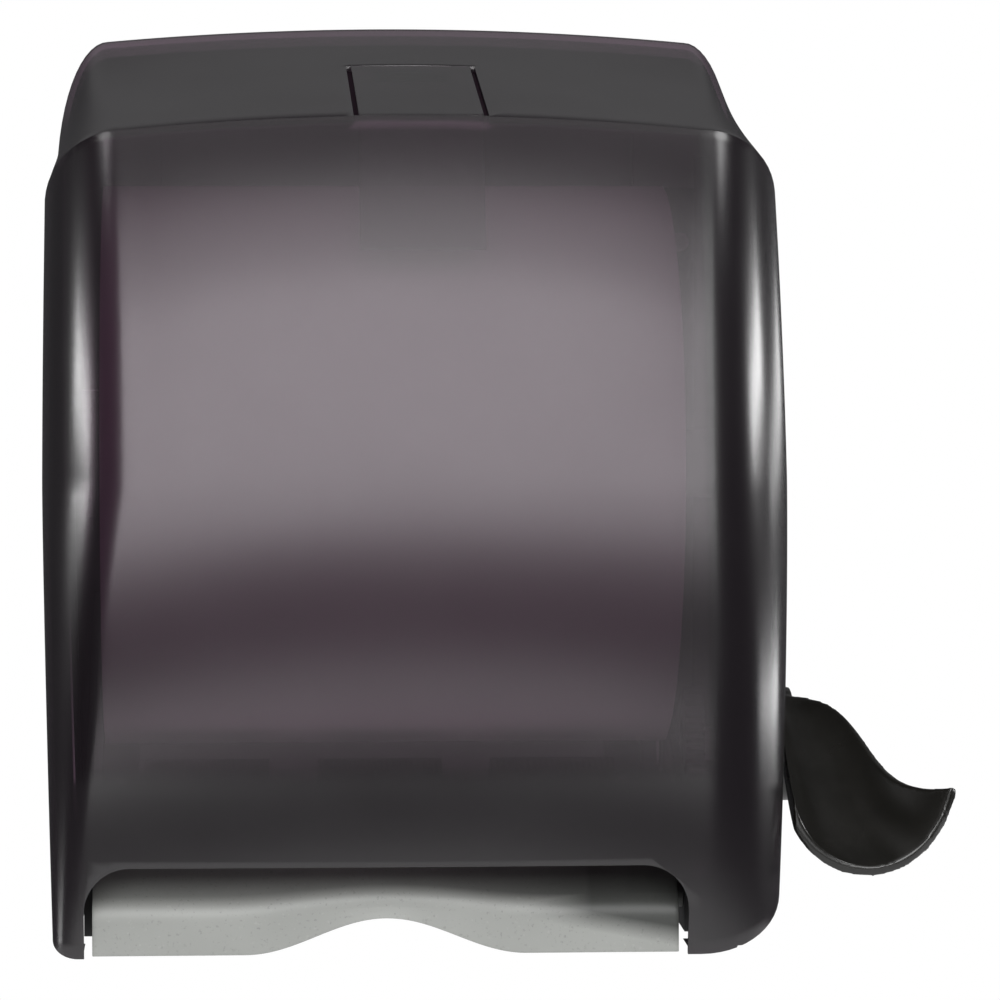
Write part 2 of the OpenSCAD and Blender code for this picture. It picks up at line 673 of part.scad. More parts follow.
// ---- Feed and pinch rollers ----
sleeve_l = 44;
sleeve_xs = [for (u = [-1, 0, 1]) chute_x + 62 * u];
module feed_shaft() color(c_steel)
    rod_x(frame_left - frame_t - 1.5, gear_plate_x + frame_t + 1.2, feed_y, feed_h,
          feed_shaft_d / 2);
module roller_sleeves(y, h, d, shaft_d)
    for (x = sleeve_xs) difference() {
        rod_x(x - sleeve_l / 2, x + sleeve_l / 2, y, h, d / 2);
        rod_x(x - sleeve_l / 2 - cut, x + sleeve_l / 2 + cut, y, h, shaft_d / 2 + running);
    }
module feed_sleeves() color(c_rubber) roller_sleeves(feed_y, feed_h, feed_d, feed_shaft_d);
module pinch_shaft() color(c_steel)
    rod_x(frame_left - frame_t - 1.5, frame_right + frame_t + 1.5, pinch_y, pinch_h,
          pinch_shaft_d / 2);
module pinch_sleeves() color(c_rubber)
    roller_sleeves(pinch_y, pinch_h, pinch_d, pinch_shaft_d);

// ---- Towel roll and its holders ----
module towel_roll() color(c_paper) difference() {
    rod_x(roll_left, roll_right, roll_y, roll_h, roll_d / 2);
    rod_x(roll_left - cut, roll_right + cut, roll_y, roll_h, core_r + core_t + running);
}
module roll_core() color(c_card) difference() {
    rod_x(roll_left, roll_right, roll_y, roll_h, core_r + core_t);
    rod_x(roll_left - cut, roll_right + cut, roll_y, roll_h, core_r);
}
// Hub profile as [distance from the roll's end, radius], with a tapered nose
function hub_points(back) = [
    [-back, 0], [-back, 9], [-roll_gap - hub_flange_t - 3, 12],
    [-roll_gap - hub_flange_t, hub_flange_r - 1], [-roll_gap - hub_flange_t + 1, hub_flange_r],
    [-roll_gap, hub_flange_r], [-roll_gap, core_r - seat], [1, core_r - seat],
    [hub_grip - 1, core_r - 4], [hub_grip, core_r - 5.5], [hub_grip, 0],
];
module roll_hub_right() color(c_dark)
    translate([roll_right, roll_y, roll_h]) rotate([0, -90, 0]) rotate_extrude()
        polygon([for (p = concat(
            [[-(gear_plate_x + frame_t - roll_right), 0],
             [-(gear_plate_x + frame_t - roll_right), hub_seat_r],
             [-(gear_plate_x - roll_right) + flush, hub_seat_r],
             [-(gear_plate_x - roll_right) + flush, 13]],
            [for (i = [2 : 10]) hub_points(10)[i]])) [p[1], p[0]]]);

arm_t = 3;
arm_x = roll_left - roll_gap - hub_flange_t - flush - 1.2;    // arm's inner face
arm_pin_x = arm_x - arm_t / 2;
arm_pin_y = -12;
arm_pin_r = 2.5;
knuckle_r = 5;
knuckle_h = 34;
ear_l = 6;
module roll_hub_left() color(c_dark)
    translate([roll_left, roll_y, roll_h]) rotate([0, 90, 0]) rotate_extrude()
        polygon([for (p = concat(
            [[arm_x - arm_t - roll_left, 0], [arm_x - arm_t - roll_left, 6],
             [arm_x + flush - roll_left, 6], [arm_x + flush - roll_left, hub_flange_r - 2]],
            [for (i = [4 : 10]) hub_points(1)[i]])) [p[1], p[0]]]);
module roll_arm_left() color(c_dark) difference() {
    union() {
        side_plate(arm_x - arm_t, arm_x) {
            at_yz(roll_y, roll_h) circle(19);
            polygon([[arm_pin_y, roll_h - knuckle_h / 2], [arm_pin_y, roll_h + knuckle_h / 2],
                     [roll_y, roll_h + 15], [roll_y, roll_h - 15]]);
        }
        translate([arm_pin_x, arm_pin_y, roll_h - knuckle_h / 2])
            cylinder(r = knuckle_r, h = knuckle_h);
    }
    rod_x(arm_x - arm_t - cut, arm_x + cut, roll_y, roll_h, 6 + flush);
    translate([arm_pin_x, arm_pin_y, roll_h - knuckle_h])
        cylinder(r = arm_pin_r + running, h = 2 * knuckle_h);
}
module roll_arm_bracket() color(c_grey) difference() {
    for (h = [roll_h - knuckle_h / 2 - seat - ear_l, roll_h + knuckle_h / 2 + seat])
        translate([arm_pin_x, 0, h]) {
            translate([0, arm_pin_y, 0]) cylinder(r = knuckle_r, h = ear_l);
            translate([-knuckle_r, arm_pin_y, 0])
                cube([2 * knuckle_r, -arm_pin_y - plate_t - flush, ear_l]);
        }
    translate([arm_pin_x, arm_pin_y, roll_h - knuckle_h])
        cylinder(r = arm_pin_r + flush, h = 2 * knuckle_h);
}
module arm_pivot_pin() color(c_steel)
    translate([arm_pin_x, arm_pin_y, roll_h - knuckle_h / 2 - seat - ear_l])
        cylinder(r = arm_pin_r, h = knuckle_h + 2 * (seat + ear_l));

// ---- Cover ----
slot_r = norm([shaft_y - hinge_y, lever_h - hinge_h]);   // the shaft's path from the hinge
slot_half = lever_shaft_d / 2 + 2;
button_front = crease_q(0) - 1.5;
foot_floor = 6.6;      // the floor's width left along each side
module cover_shell() color(c_smoke) difference() {
    cover_form();
    bottom_cut();
    mouth_cut();
    lever_slot();
    hinge_corner_cut();
    button_window();
}
module bottom_cut() {
    translate([foot_floor - foot_w, -(bottom_q(0) - wall_t), -cut])
        cube([2 * (foot_w - foot_floor), bottom_q(0), wall_t + cut + eps]);
}
module mouth_cut() {
    w = chute_w + 2 * mouth_gap;
    translate([chute_x - w / 2, -body_d - cut, -cut]) rotate([90, 0, 0]) mirror([0, 0, 1])
        linear_extrude(body_d / 2) {
            square([w, mouth_h + cut - mouth_r]);
            translate([mouth_r, 0]) square([w - 2 * mouth_r, mouth_h + cut]);
            for (x = [mouth_r, w - mouth_r]) translate([x, mouth_h + cut - mouth_r])
                circle(mouth_r);
        }
}
module lever_slot() side_plate(end_w - edge_r, half_w + cut) {
    at_yz(shaft_y, lever_h) circle(slot_half);
    intersection() {
        at_yz(hinge_y, hinge_h) difference() {
            circle(slot_r + slot_half);
            circle(slot_r - slot_half);
        }
        polygon([[hinge_y, hinge_h], [2 * shaft_y - hinge_y, 2 * lever_h - hinge_h],
                 [shaft_y, 2 * slot_r], [cut, 2 * slot_r], [cut, hinge_h]]);
    }
}
module hinge_corner_cut() side_plate(-body_w, body_w) difference() {
    translate([hinge_y, -cut]) square([-hinge_y + cut, hinge_h + cut]);
    at_yz(hinge_y, hinge_h) circle(-hinge_y - 0.5);
}
module button_window()
    translate([latch_x - button_out - button_slot, -button_front, spine_h])
        cube([2 * (button_out + button_slot), button_front - button_rear, body_h]);

module cover_hinge_lugs() color(c_smoke) for (s = [-1, 1]) difference() {
    side_plate(s > 0 ? lug_out - lug_t : -lug_out, s > 0 ? lug_out : lug_t - lug_out) {
        at_yz(hinge_y, hinge_h) circle(lug_r);
        polygon([[hinge_y - 2, hinge_h - lug_r], [hinge_y - 16, hinge_h + 4],
                 [hinge_y - 16, hinge_h + 16], [hinge_y + 2, hinge_h + lug_r - 0.5]]);
    }
    rod_x(s * lug_out - lug_t - cut, s * lug_out + lug_t + cut, hinge_y, hinge_h,
          hinge_pin_r + running);
}

// ---- Latch: a rocker in the cover's top ----
rocker_w = 26;
nose_y = -9;
nose_h = body_h - 24;
nose_t = 4;
catch_w = 24;
catch_lip = 3.5;
catch_lip_t = 3;
function top_at(y) = body_h + slope * y;          // outside of the cover's top
function rocker_top(y) =
    lerp(pivot_h + 2.6, nose_h + 7, (y - pivot_y - 3) / (nose_y - pivot_y - 5));
function under_top(y) = top_at(y) - wall_t * sqrt(1 + slope * slope) - seat;
catch_y = nose_y - nose_t - seat;
tongue_y = crease_q(0) - wall_t - 3;
tongue_lean = 21;
tongue_t = 2.5;
module latch_button() color(c_smoke) difference() {
    union() {
        side_plate(latch_x - button_out, latch_x + button_out) {
            polygon([
                [-button_front + 1, top_at(-button_front) + 0.2], [-button_rear - 1,
                 top_at(-button_rear) - 0.2], [-button_rear - 1,
                 top_at(-button_rear) - wall_t - 0.2],
                [-button_front + 1, top_at(-button_front) - wall_t],
            ]);
            translate([-tongue_y, top_at(-tongue_y) - wall_t]) rotate(-tongue_lean)
                translate([0, -tongue_l]) square([tongue_t, tongue_l + 1]);
        }
        side_plate(latch_x - rocker_w / 2, latch_x + rocker_w / 2) {
            at_yz(pivot_y, pivot_h) circle(4);
            polygon([[pivot_y - 3.5, pivot_h + 2], [pivot_y + 3, rocker_top(pivot_y + 3)],
                     [nose_y - 2, rocker_top(nose_y - 2)], [nose_y, nose_h + 6], [nose_y, nose_h],
                     [nose_y - nose_t, nose_h], [nose_y - nose_t, nose_h + catch_lip + seat],
                     [nose_y - nose_t - 8, nose_h + catch_lip + seat],
                     [pivot_y + 2, pivot_h - 3]]);
            polygon([[-button_rear - 24, top_at(-button_rear - 24) - wall_t + eps],
                     [-button_rear - 1, top_at(-button_rear) - wall_t - 0.2],
                     [pivot_y + 3, pivot_h + 2.4], [pivot_y, pivot_h - 3.5]]);
        }
    }
    rod_x(latch_x - button_w, latch_x + button_w, pivot_y, pivot_h, pivot_r + running);
}
module latch_bracket() color(c_smoke) for (s = [-1, 1])
    difference() {
        side_plate(latch_x + s * (rocker_w / 2 + 0.5) - (s < 0 ? 4 : 0),
                   latch_x + s * (rocker_w / 2 + 0.5) + (s < 0 ? 0 : 4)) {
            at_yz(pivot_y, pivot_h) circle(4);
            polygon([[pivot_y - 1, pivot_h - 3.8], [pivot_y - 1, pivot_h + 2],
                     [pivot_y + 3, under_top(pivot_y + 3) - bracket_drop],
                     [pivot_y + 22, under_top(pivot_y + 22) - bracket_drop],
                     [pivot_y + 4, pivot_h - 2]]);
        }
        rod_x(latch_x - button_w, latch_x + button_w, pivot_y, pivot_h, pivot_r + flush);
    }
bracket_drop = 0.25;   // the top's crown falls this much over the bracket
module latch_pin() color(c_steel)
    rod_x(latch_x - rocker_w / 2 - 4.5, latch_x + rocker_w / 2 + 4.5, pivot_y, pivot_h, pivot_r);
leaf_t = 0.5;
leaf_w = 10;
leaf_y = pivot_y + 24;
leaf_tip_y = nose_y - 16;
module latch_spring() color(c_steel)
    side_plate(latch_x - leaf_w / 2, latch_x + leaf_w / 2) polygon([
        [leaf_y, under_top(leaf_y)], [leaf_y + 12, under_top(leaf_y + 12)],
        [leaf_tip_y, rocker_top(leaf_tip_y) + seat + leaf_t],
        [leaf_tip_y, rocker_top(leaf_tip_y) + seat],
        [leaf_y + 12, under_top(leaf_y + 12) - leaf_t], [leaf_y, under_top(leaf_y) - leaf_t],
    ]);
module latch_catch() color(c_grey)
    side_plate(latch_x - catch_w / 2, latch_x + catch_w / 2) polygon([
        [-plate_t - flush, nose_h - 22], [-plate_t - flush, nose_h - seat],
        [catch_y, nose_h - seat], [catch_y, nose_h + catch_lip],
        [catch_y - catch_lip_t + 1, nose_h + catch_lip], [catch_y - catch_lip_t, nose_h],
        [catch_y - catch_lip_t, nose_h - 6], [-plate_t - flush - 3, nose_h - 22],
    ]);

// ---- Lever ----
shaft_in = frame_right - flush - bush_flange;
module lever_shaft() color(c_steel) difference() {
    rod_x(shaft_in, paddle_x + hub_l - 2, shaft_y, lever_h, lever_shaft_d / 2);
    rod_x(paddle_x - 2, paddle_x + hub_l, shaft_y, lever_h, 2 + flush);
}
module lever_screw() color(c_steel) {
    rod_x(paddle_x - 1, paddle_x + hub_l + eps, shaft_y, lever_h, 2);
    difference() {
        rod_x(paddle_x + hub_l, paddle_x + hub_l + 2.4, shaft_y, lever_h, 5);
        translate([paddle_x + hub_l + 1.4, shaft_y - 0.6, lever_h - 6]) cube([2, 1.2, 12]);
    }
}
module lever_crank() color(c_dark) difference() {
    union() {
        side_plate(crank_x, crank_x + crank_t) {
            at_yz(shaft_y, lever_h) circle(crank_w);
            at_yz(shaft_y - crank_w / 2, lever_h) square([crank_w, crank_l]);
        }
        rod_x(crank_x, half_w - wall_t - 2.6, shaft_y, lever_h + crank_l, crank_head_r);
    }
    rod_x(crank_x - cut, crank_x + crank_t + cut, shaft_y, lever_h, lever_shaft_d / 2 + running);
}
module lever_stop() color(c_rubber)
    rod_x(gear_plate_x + frame_t + flush, crank_x + crank_t, shaft_y + crank_w / 2 + seat + 5,
          lever_h + crank_l / 2, 5);

spring_start = shaft_y + crank_head_r + seat;
spring_end = anchor_y - anchor_r - seat;
lead = 4;
spring_path = concat(
    [[spring_x, spring_start, spring_h], [spring_x, spring_start + lead / 2, spring_h]],
    [for (i = [0 : 8 * spring_turns]) let (a = 45 * i, u = i / (8 * spring_turns))
        [spring_x + spring_r * sin(a),
         lerp(spring_start + lead, spring_end - lead, u),
         spring_h + spring_r * cos(a)]],
    [[spring_x, spring_end - lead / 2, spring_h], [spring_x, spring_end, spring_h]]);
module lever_return_spring() color(c_steel) spring_tube(spring_path);
module spring_tube(path) swept_tube(path, spring_wire / 2, 6, [0.02, 1, 0.01]);
spring_pitch = (spring_end - spring_start - 2 * lead) / spring_turns;
echo(least_gap_of_the_spring_to_itself = spring_pitch - spring_wire);

// The paddle is one curved sheet over four rows of control points, from the hub at the
// back to the rim in front, each as [outward from the cover, forward of the shaft,
// above the shaft]. The last column is the free edge.
function paddle_rows() = let (r = paddle_reach) [
    [[2, 8, 19], [4.5, 9, 19.5], [7.5, 10, 19.5], [0.21 * r, 11, 18.5]],
    [[2, 34, 17], [0.14 * r, 36, 3], [0.46 * r, 37, 9], [0.66 * r, 34, 19.5]],
    [[0, 66, 5], [0, 68, -23], [0.32 * r, 68, -28], [0.4 * r, 64, -14]],
    [[0, 92, -2], [0, 93, -40], [0.84 * r, 93, -48], [r, 90, -6]],
];
function bezier(p, t) = pow(1 - t, 3) * p[0] + 3 * t * pow(1 - t, 2) * p[1]
    + 3 * t * t * (1 - t) * p[2] + t * t * t * p[3];
function paddle_at(u, v) = bezier([for (row = paddle_rows()) bezier(row, v)], u);
function paddle_normal(u, v) =
    let (d = 0.01, u0 = max(0, u - d), u1 = min(1, u + d),
         v0 = max(0, v - d), v1 = min(1, v + d))
    unit(cross(paddle_at(u, v1) - paddle_at(u, v0), paddle_at(u1, v) - paddle_at(u0, v)));
paddle_steps = 12;
function to_body(p) = [cover_side + 1.2 + p[0], shaft_y - p[1], lever_h + p[2]];
module paddle_sheet() {
    n = paddle_steps + 1;
    grid = [for (i = [0 : paddle_steps]) for (j = [0 : paddle_steps])
        [i / paddle_steps, j / paddle_steps]];
    top = [for (g = grid) to_body(paddle_at(g[0], g[1]))];
    under = [for (g = grid)
        to_body(paddle_at(g[0], g[1]) - paddle_t * paddle_normal(g[0], g[1]))];
    k = n * n;
    skins = [for (i = [0 : n - 2]) for (j = [0 : n - 2])
        let (a = i * n + j, b = a + 1, c = a + n, d = c + 1)
        each [[a, b, d], [a, d, c], [k + a, k + d, k + b], [k + a, k + c, k + d]]];
    rims = [for (i = [0 : n - 2]) let (f = i, g = n * (n - 1) + i, l = i * n, r = i * n + n - 1)
        each [[f, k + f + 1, f + 1], [f, k + f, k + f + 1],
              [g, g + 1, k + g + 1], [g, k + g + 1, k + g],
              [l, l + n, k + l + n], [l, k + l + n, k + l],
              [r, k + r + n, r + n], [r, k + r, k + r + n]]];
    polyhedron(concat(top, under), concat(skins, rims), convexity = 10);
}
module lever_paddle() color(c_dark) difference() {
    union() {
        rod_x(paddle_x, paddle_x + hub_l, shaft_y, lever_h, hub_r);
        paddle_sheet();
    }
    translate([half_w - 20, -2 * body_d, -body_h]) cube([21.6, 2 * body_d, 2 * body_h]);
    rod_x(paddle_x - cut, paddle_x + hub_l - 2, shaft_y, lever_h, lever_shaft_d / 2 + running);
    rod_x(paddle_x - cut, paddle_x + hub_l + cut, shaft_y, lever_h, 2 + flush);
}

from_mount() back_plate();
from_mount() left_side_frame();
from_mount() right_side_frame();
from_mount() gear_plate();
from_mount() chute();
from_mount() tear_bar();
from_mount() tear_bar_screws();
from_mount() paper_guide();
from_mount() frame_screws();
from_mount() roll_hub_right();
from_mount() roll_arm_bracket();
from_mount() arm_pivot_pin();
from_mount() latch_catch();
from_mount() cover_hinge_pins();
from_mount() feed_bushes();
from_mount() pinch_bushes();
from_mount() lever_bushes();
from_mount() lever_return_spring();
from_mount() lever_stop();
from_mount() cover_shell();
from_mount() cover_hinge_lugs();
from_mount() latch_bracket();
from_mount() latch_pin();
from_mount() latch_spring();
from_mount() latch_button();
from_mount() lever_paddle();
from_mount() lever_shaft();
from_mount() lever_screw();
from_mount() sector_gear();
from_mount() lever_crank();
from_mount() feed_shaft();
from_mount() feed_sleeves();
from_mount() pinion();
from_mount() pinch_shaft();
from_mount() pinch_sleeves();
from_mount() roll_arm_left();
from_mount() roll_hub_left();
from_mount() towel_roll();
from_mount() roll_core();
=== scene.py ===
"""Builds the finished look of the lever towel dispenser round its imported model."""

import json
import math

import bmesh
import bpy
import numpy as np
from mathutils import Matrix, Vector


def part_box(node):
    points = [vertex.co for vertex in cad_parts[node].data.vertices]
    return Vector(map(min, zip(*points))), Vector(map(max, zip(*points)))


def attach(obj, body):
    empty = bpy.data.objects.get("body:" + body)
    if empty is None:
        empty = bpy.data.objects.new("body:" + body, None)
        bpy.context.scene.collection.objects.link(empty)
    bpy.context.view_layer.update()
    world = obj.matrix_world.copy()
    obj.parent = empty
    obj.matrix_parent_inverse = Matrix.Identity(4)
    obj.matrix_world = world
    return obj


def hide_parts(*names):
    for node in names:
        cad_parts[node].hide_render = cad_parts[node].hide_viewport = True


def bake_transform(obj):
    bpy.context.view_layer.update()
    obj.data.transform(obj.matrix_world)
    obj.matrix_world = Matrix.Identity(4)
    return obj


bl_info = {
    "name": "Lever towel dispenser",
    "version": (1, 0, 0),
    "blender": (4, 5, 0),
    "location": "3D View > Sidebar > Dispenser",
    "description": "Makes the cover, chute, lever, roll and finishes of a lever towel dispenser",
    "category": "Object",
}

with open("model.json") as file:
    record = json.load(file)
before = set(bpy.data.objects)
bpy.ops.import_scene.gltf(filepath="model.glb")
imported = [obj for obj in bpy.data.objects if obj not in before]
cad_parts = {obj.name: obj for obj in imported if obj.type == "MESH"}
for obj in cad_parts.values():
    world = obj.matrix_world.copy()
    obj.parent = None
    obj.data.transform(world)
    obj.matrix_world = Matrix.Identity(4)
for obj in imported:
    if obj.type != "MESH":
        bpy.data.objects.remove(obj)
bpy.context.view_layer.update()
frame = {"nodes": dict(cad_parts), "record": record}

MM = 0.001
MOUNT_HEIGHT = 168.0  # height of the wall screws' centre above the body's bottom edge, mm


# ---------------------------------------------------------------- settings


class CoverSettings(bpy.types.PropertyGroup):
    """Sizes of the smoked cover, in millimetres where no unit is shown."""

    half_width: bpy.props.FloatProperty(
        name="Half width", description="Half of the widest width, mm", default=131.5
    )
    wall_half_width: bpy.props.FloatProperty(
        name="Half width at the wall", description="Half width along the wall, mm", default=131.0
    )
    foot_half_width: bpy.props.FloatProperty(
        name="Half width at the foot", description="Half width at the bottom, mm", default=127.5
    )
    height: bpy.props.FloatProperty(name="Height", description="Height of the body, mm", default=327.0)
    depth: bpy.props.FloatProperty(
        name="Depth", description="Wall to the deepest point of the front, mm", default=234.0
    )
    wall: bpy.props.FloatProperty(name="Wall", description="Thickness of the moulding, mm", default=2.5)
    arc_radius: bpy.props.FloatProperty(
        name="Front curve", description="Radius of the front seen from the side, mm", default=412.0
    )
    arc_height: bpy.props.FloatProperty(
        name="Deepest point", description="Height of the deepest point of the front, mm", default=98.0
    )
    top_fall: bpy.props.FloatProperty(
        name="Top slope",
        description="Fall of the top towards the front",
        default=math.radians(10.9),
        subtype="ANGLE",
    )
    edge_softness: bpy.props.FloatProperty(
        name="Edge softness", description="Rounding of the moulding's edges, mm", default=0.7
    )


class ChuteSettings(bpy.types.PropertyGroup):
    """Sizes of the chute under the cover."""

    centre: bpy.props.FloatProperty(name="Centre", description="Middle of the chute, mm", default=-11.8)
    width: bpy.props.FloatProperty(name="Width", description="Width of the chute, mm", default=204.0)
    mouth_height: bpy.props.FloatProperty(
        name="Mouth height", description="Height of the mouth, mm", default=32.0
    )
    mouth_radius: bpy.props.FloatProperty(
        name="Mouth corners", description="Radius of the mouth's corners, mm", default=16.0
    )
    bend_height: bpy.props.FloatProperty(name="Bend", description="Height of the bend, mm", default=16.0)
    top_height: bpy.props.FloatProperty(name="Top", description="Top of the chute, mm", default=43.0)
    arch_height: bpy.props.FloatProperty(
        name="Arch", description="Rise of the arch in the lip, mm", default=12.5
    )
    arch_width: bpy.props.FloatProperty(name="Arch width", description="Width of the arch, mm", default=98.0)
    wall: bpy.props.FloatProperty(name="Wall", description="Thickness of the chute, mm", default=2.5)


class LeverSettings(bpy.types.PropertyGroup):
    """Sizes of the lever's paddle."""

    reach: bpy.props.FloatProperty(
        name="Reach", description="Reach beyond the cover's side, mm", default=57.0
    )
    thickness: bpy.props.FloatProperty(
        name="Thickness", description="Thickness of the paddle, mm", default=4.0
    )
    hub_radius: bpy.props.FloatProperty(name="Hub", description="Radius of the hub, mm", default=21.0)


class RollSettings(bpy.types.PropertyGroup):
    """The towel roll."""

    layers: bpy.props.IntProperty(name="Layers shown", description="Ridges on the roll's ends", default=64)
    relief: bpy.props.FloatProperty(
        name="Layer relief", description="Depth of the ridges on the ends", default=0.0003, unit="LENGTH"
    )


class FinishSettings(bpy.types.PropertyGroup):
    """Colours of the finishes."""

    smoke: bpy.props.FloatVectorProperty(
        name="Smoke",
        description="Tint of light through the cover",
        subtype="COLOR",
        default=(0.92, 0.72, 0.87),
    )
    smoke_density: bpy.props.FloatProperty(
        name="Smoke density", description="Share of light that one face of the cover holds back", default=0.55
    )
    chute_grey: bpy.props.FloatVectorProperty(
        name="Chute", description="Colour of the chute", subtype="COLOR", default=(0.37, 0.378, 0.36)
    )
    housing_grey: bpy.props.FloatVectorProperty(
        name="Housing", description="Colour of the back plate", subtype="COLOR", default=(0.12, 0.125, 0.12)
    )
    lever_black: bpy.props.FloatVectorProperty(
        name="Lever", description="Colour of the lever", subtype="COLOR", default=(0.0085, 0.0080, 0.0066)
    )
    paper_white: bpy.props.FloatVectorProperty(
        name="Paper", description="Colour of the towel paper", subtype="COLOR", default=(0.80, 0.775, 0.76)
    )


class StudioSettings(bpy.types.PropertyGroup):
    """Camera and floor."""

    camera_distance: bpy.props.FloatProperty(
        name="Camera distance", description="From the aim point to the camera", default=1.866, unit="LENGTH"
    )
    lens: bpy.props.FloatProperty(name="Lens", description="Focal length, mm", default=183.6)
    floor_height: bpy.props.FloatProperty(
        name="Floor height", description="Height of the floor", default=-0.46, unit="LENGTH"
    )


# ---------------------------------------------------------------- mesh helpers


def put(x, y, h):
    """A point given in millimetres, with its height above the bottom edge, in metres."""
    return (x * MM, y * MM, (h - MOUNT_HEIGHT) * MM)


def new_piece(name, vertices, faces, smooth=True):
    """An object of its own mesh, from vertices in metres."""
    mesh = bpy.data.meshes.new(name)
    mesh.from_pydata([tuple(v) for v in vertices], [], faces)
    mesh.validate()
    mesh.update()
    piece = bpy.data.objects.new(name, mesh)
    bpy.context.scene.collection.objects.link(piece)
    if smooth:
        mesh.shade_smooth()
    return piece


def outward(piece):
    """Turns every face outwards."""
    bm = bmesh.new()
    bm.from_mesh(piece.data)
    bmesh.ops.recalc_face_normals(bm, faces=bm.faces)
    bm.to_mesh(piece.data)
    bm.free()
    piece.data.update()


def bake_modifiers(piece):
    """Replaces the piece's mesh by its evaluated one, and drops the modifiers."""
    graph = bpy.context.evaluated_depsgraph_get()
    graph.update()
    mesh = bpy.data.meshes.new_from_object(piece.evaluated_get(graph), depsgraph=graph)
    mesh.name = piece.name
    piece.modifiers.clear()
    piece.data = mesh
    return piece


def closed_prism(name, rings):
    """A closed prism between two like rings of (x, y, height) points, in millimetres."""
    n = len(rings[0])
    vertices = [put(*point) for ring in rings for point in ring]
    faces = [list(range(n)), list(range(2 * n - 1, n - 1, -1))]
    faces += [[i, i + n, (i + 1) % n + n, (i + 1) % n] for i in range(n)]
    piece = new_piece(name, vertices, faces, smooth=False)
    outward(piece)
    return piece


def prism_x(name, outline, x0, x1):
    """A closed prism along X over an outline of (y, height) points, in millimetres."""
    return closed_prism(name, [[(x, y, h) for y, h in outline] for x in (x0, x1)])


def prism_y(name, outline, y0, y1):
    """A closed prism along Y over an outline of (x, height) points, in millimetres."""
    return closed_prism(name, [[(x, y, h) for x, h in outline] for y in (y0, y1)])


def round_outline(y, h, radius, sides):
    """Points of a circle round (y, height)."""
    angles = np.linspace(0, 2 * math.pi, sides, endpoint=False)
    return [(y + radius * math.cos(a), h + radius * math.sin(a)) for a in angles]


def disc_x(name, x0, x1, y, h, radius, sides=72):
    """A closed disc that lies across X, in millimetres."""
    return prism_x(name, round_outline(y, h, radius, sides), x0, x1)


def sheet_faces(n, m):
    """Faces of a closed sheet between two skins, each a grid of n rows of m points."""
    k = n * m
    faces = []
    for i in range(n - 1):
        for j in range(m - 1):
            a = i * m + j
            faces.append([a, a + 1, a + m + 1, a + m])
            faces.append([k + a, k + a + m, k + a + m + 1, k + a + 1])
        near = i * m
        far = near + m - 1
        faces.append([near, near + m, k + near + m, k + near])
        faces.append([far, k + far, k + far + m, far + m])
    for near in range(m - 1):
        far = (n - 1) * m + near
        faces.append([near, k + near, k + near + 1, near + 1])
        faces.append([far, far + 1, k + far + 1, k + far])
    return faces


def combine(piece, others, operation):
    """Cuts the other pieces out of the piece, or joins them to it, and removes them."""
    for other in others:
        step = piece.modifiers.new("Combine", "BOOLEAN")
        step.operation = operation
        step.solver = "EXACT"
        step.object = other
    bake_modifiers(piece)
    for other in others:
        bpy.data.objects.remove(other)


def points_of(piece):
    """The piece's vertices as rows of x, y and z, in metres."""
    points = np.empty(len(piece.data.vertices) * 3)
    piece.data.vertices.foreach_get("co", points)
    return points.reshape(-1, 3)


def set_points(piece, points):
    piece.data.vertices.foreach_set("co", points.ravel())
    piece.data.update()


def soften(piece, width, angle=40.0, segments=2, bake=True):
    """Rounds the sharp edges by a small bevel, width in metres."""
    bevel = piece.modifiers.new("Edge", "BEVEL")
    bevel.width = width
    bevel.segments = segments
    bevel.limit_method = "ANGLE"
    bevel.angle_limit = math.radians(angle)
    bevel.use_clamp_overlap = True
    bevel.miter_outer = "MITER_ARC"
    if bake:
        bake_modifiers(piece)


def shade_by_angle(piece, degrees):
    """Smooth shading, with sharp edges where the faces meet at more than the angle."""
    mesh = piece.data
    mesh.shade_smooth()
    mesh.set_sharp_from_angle(angle=math.radians(degrees))


def lerp(a, b, t):
    """The value a share t of the way from a to b."""
    return a + (b - a) * t


# ---------------------------------------------------------------- node helpers


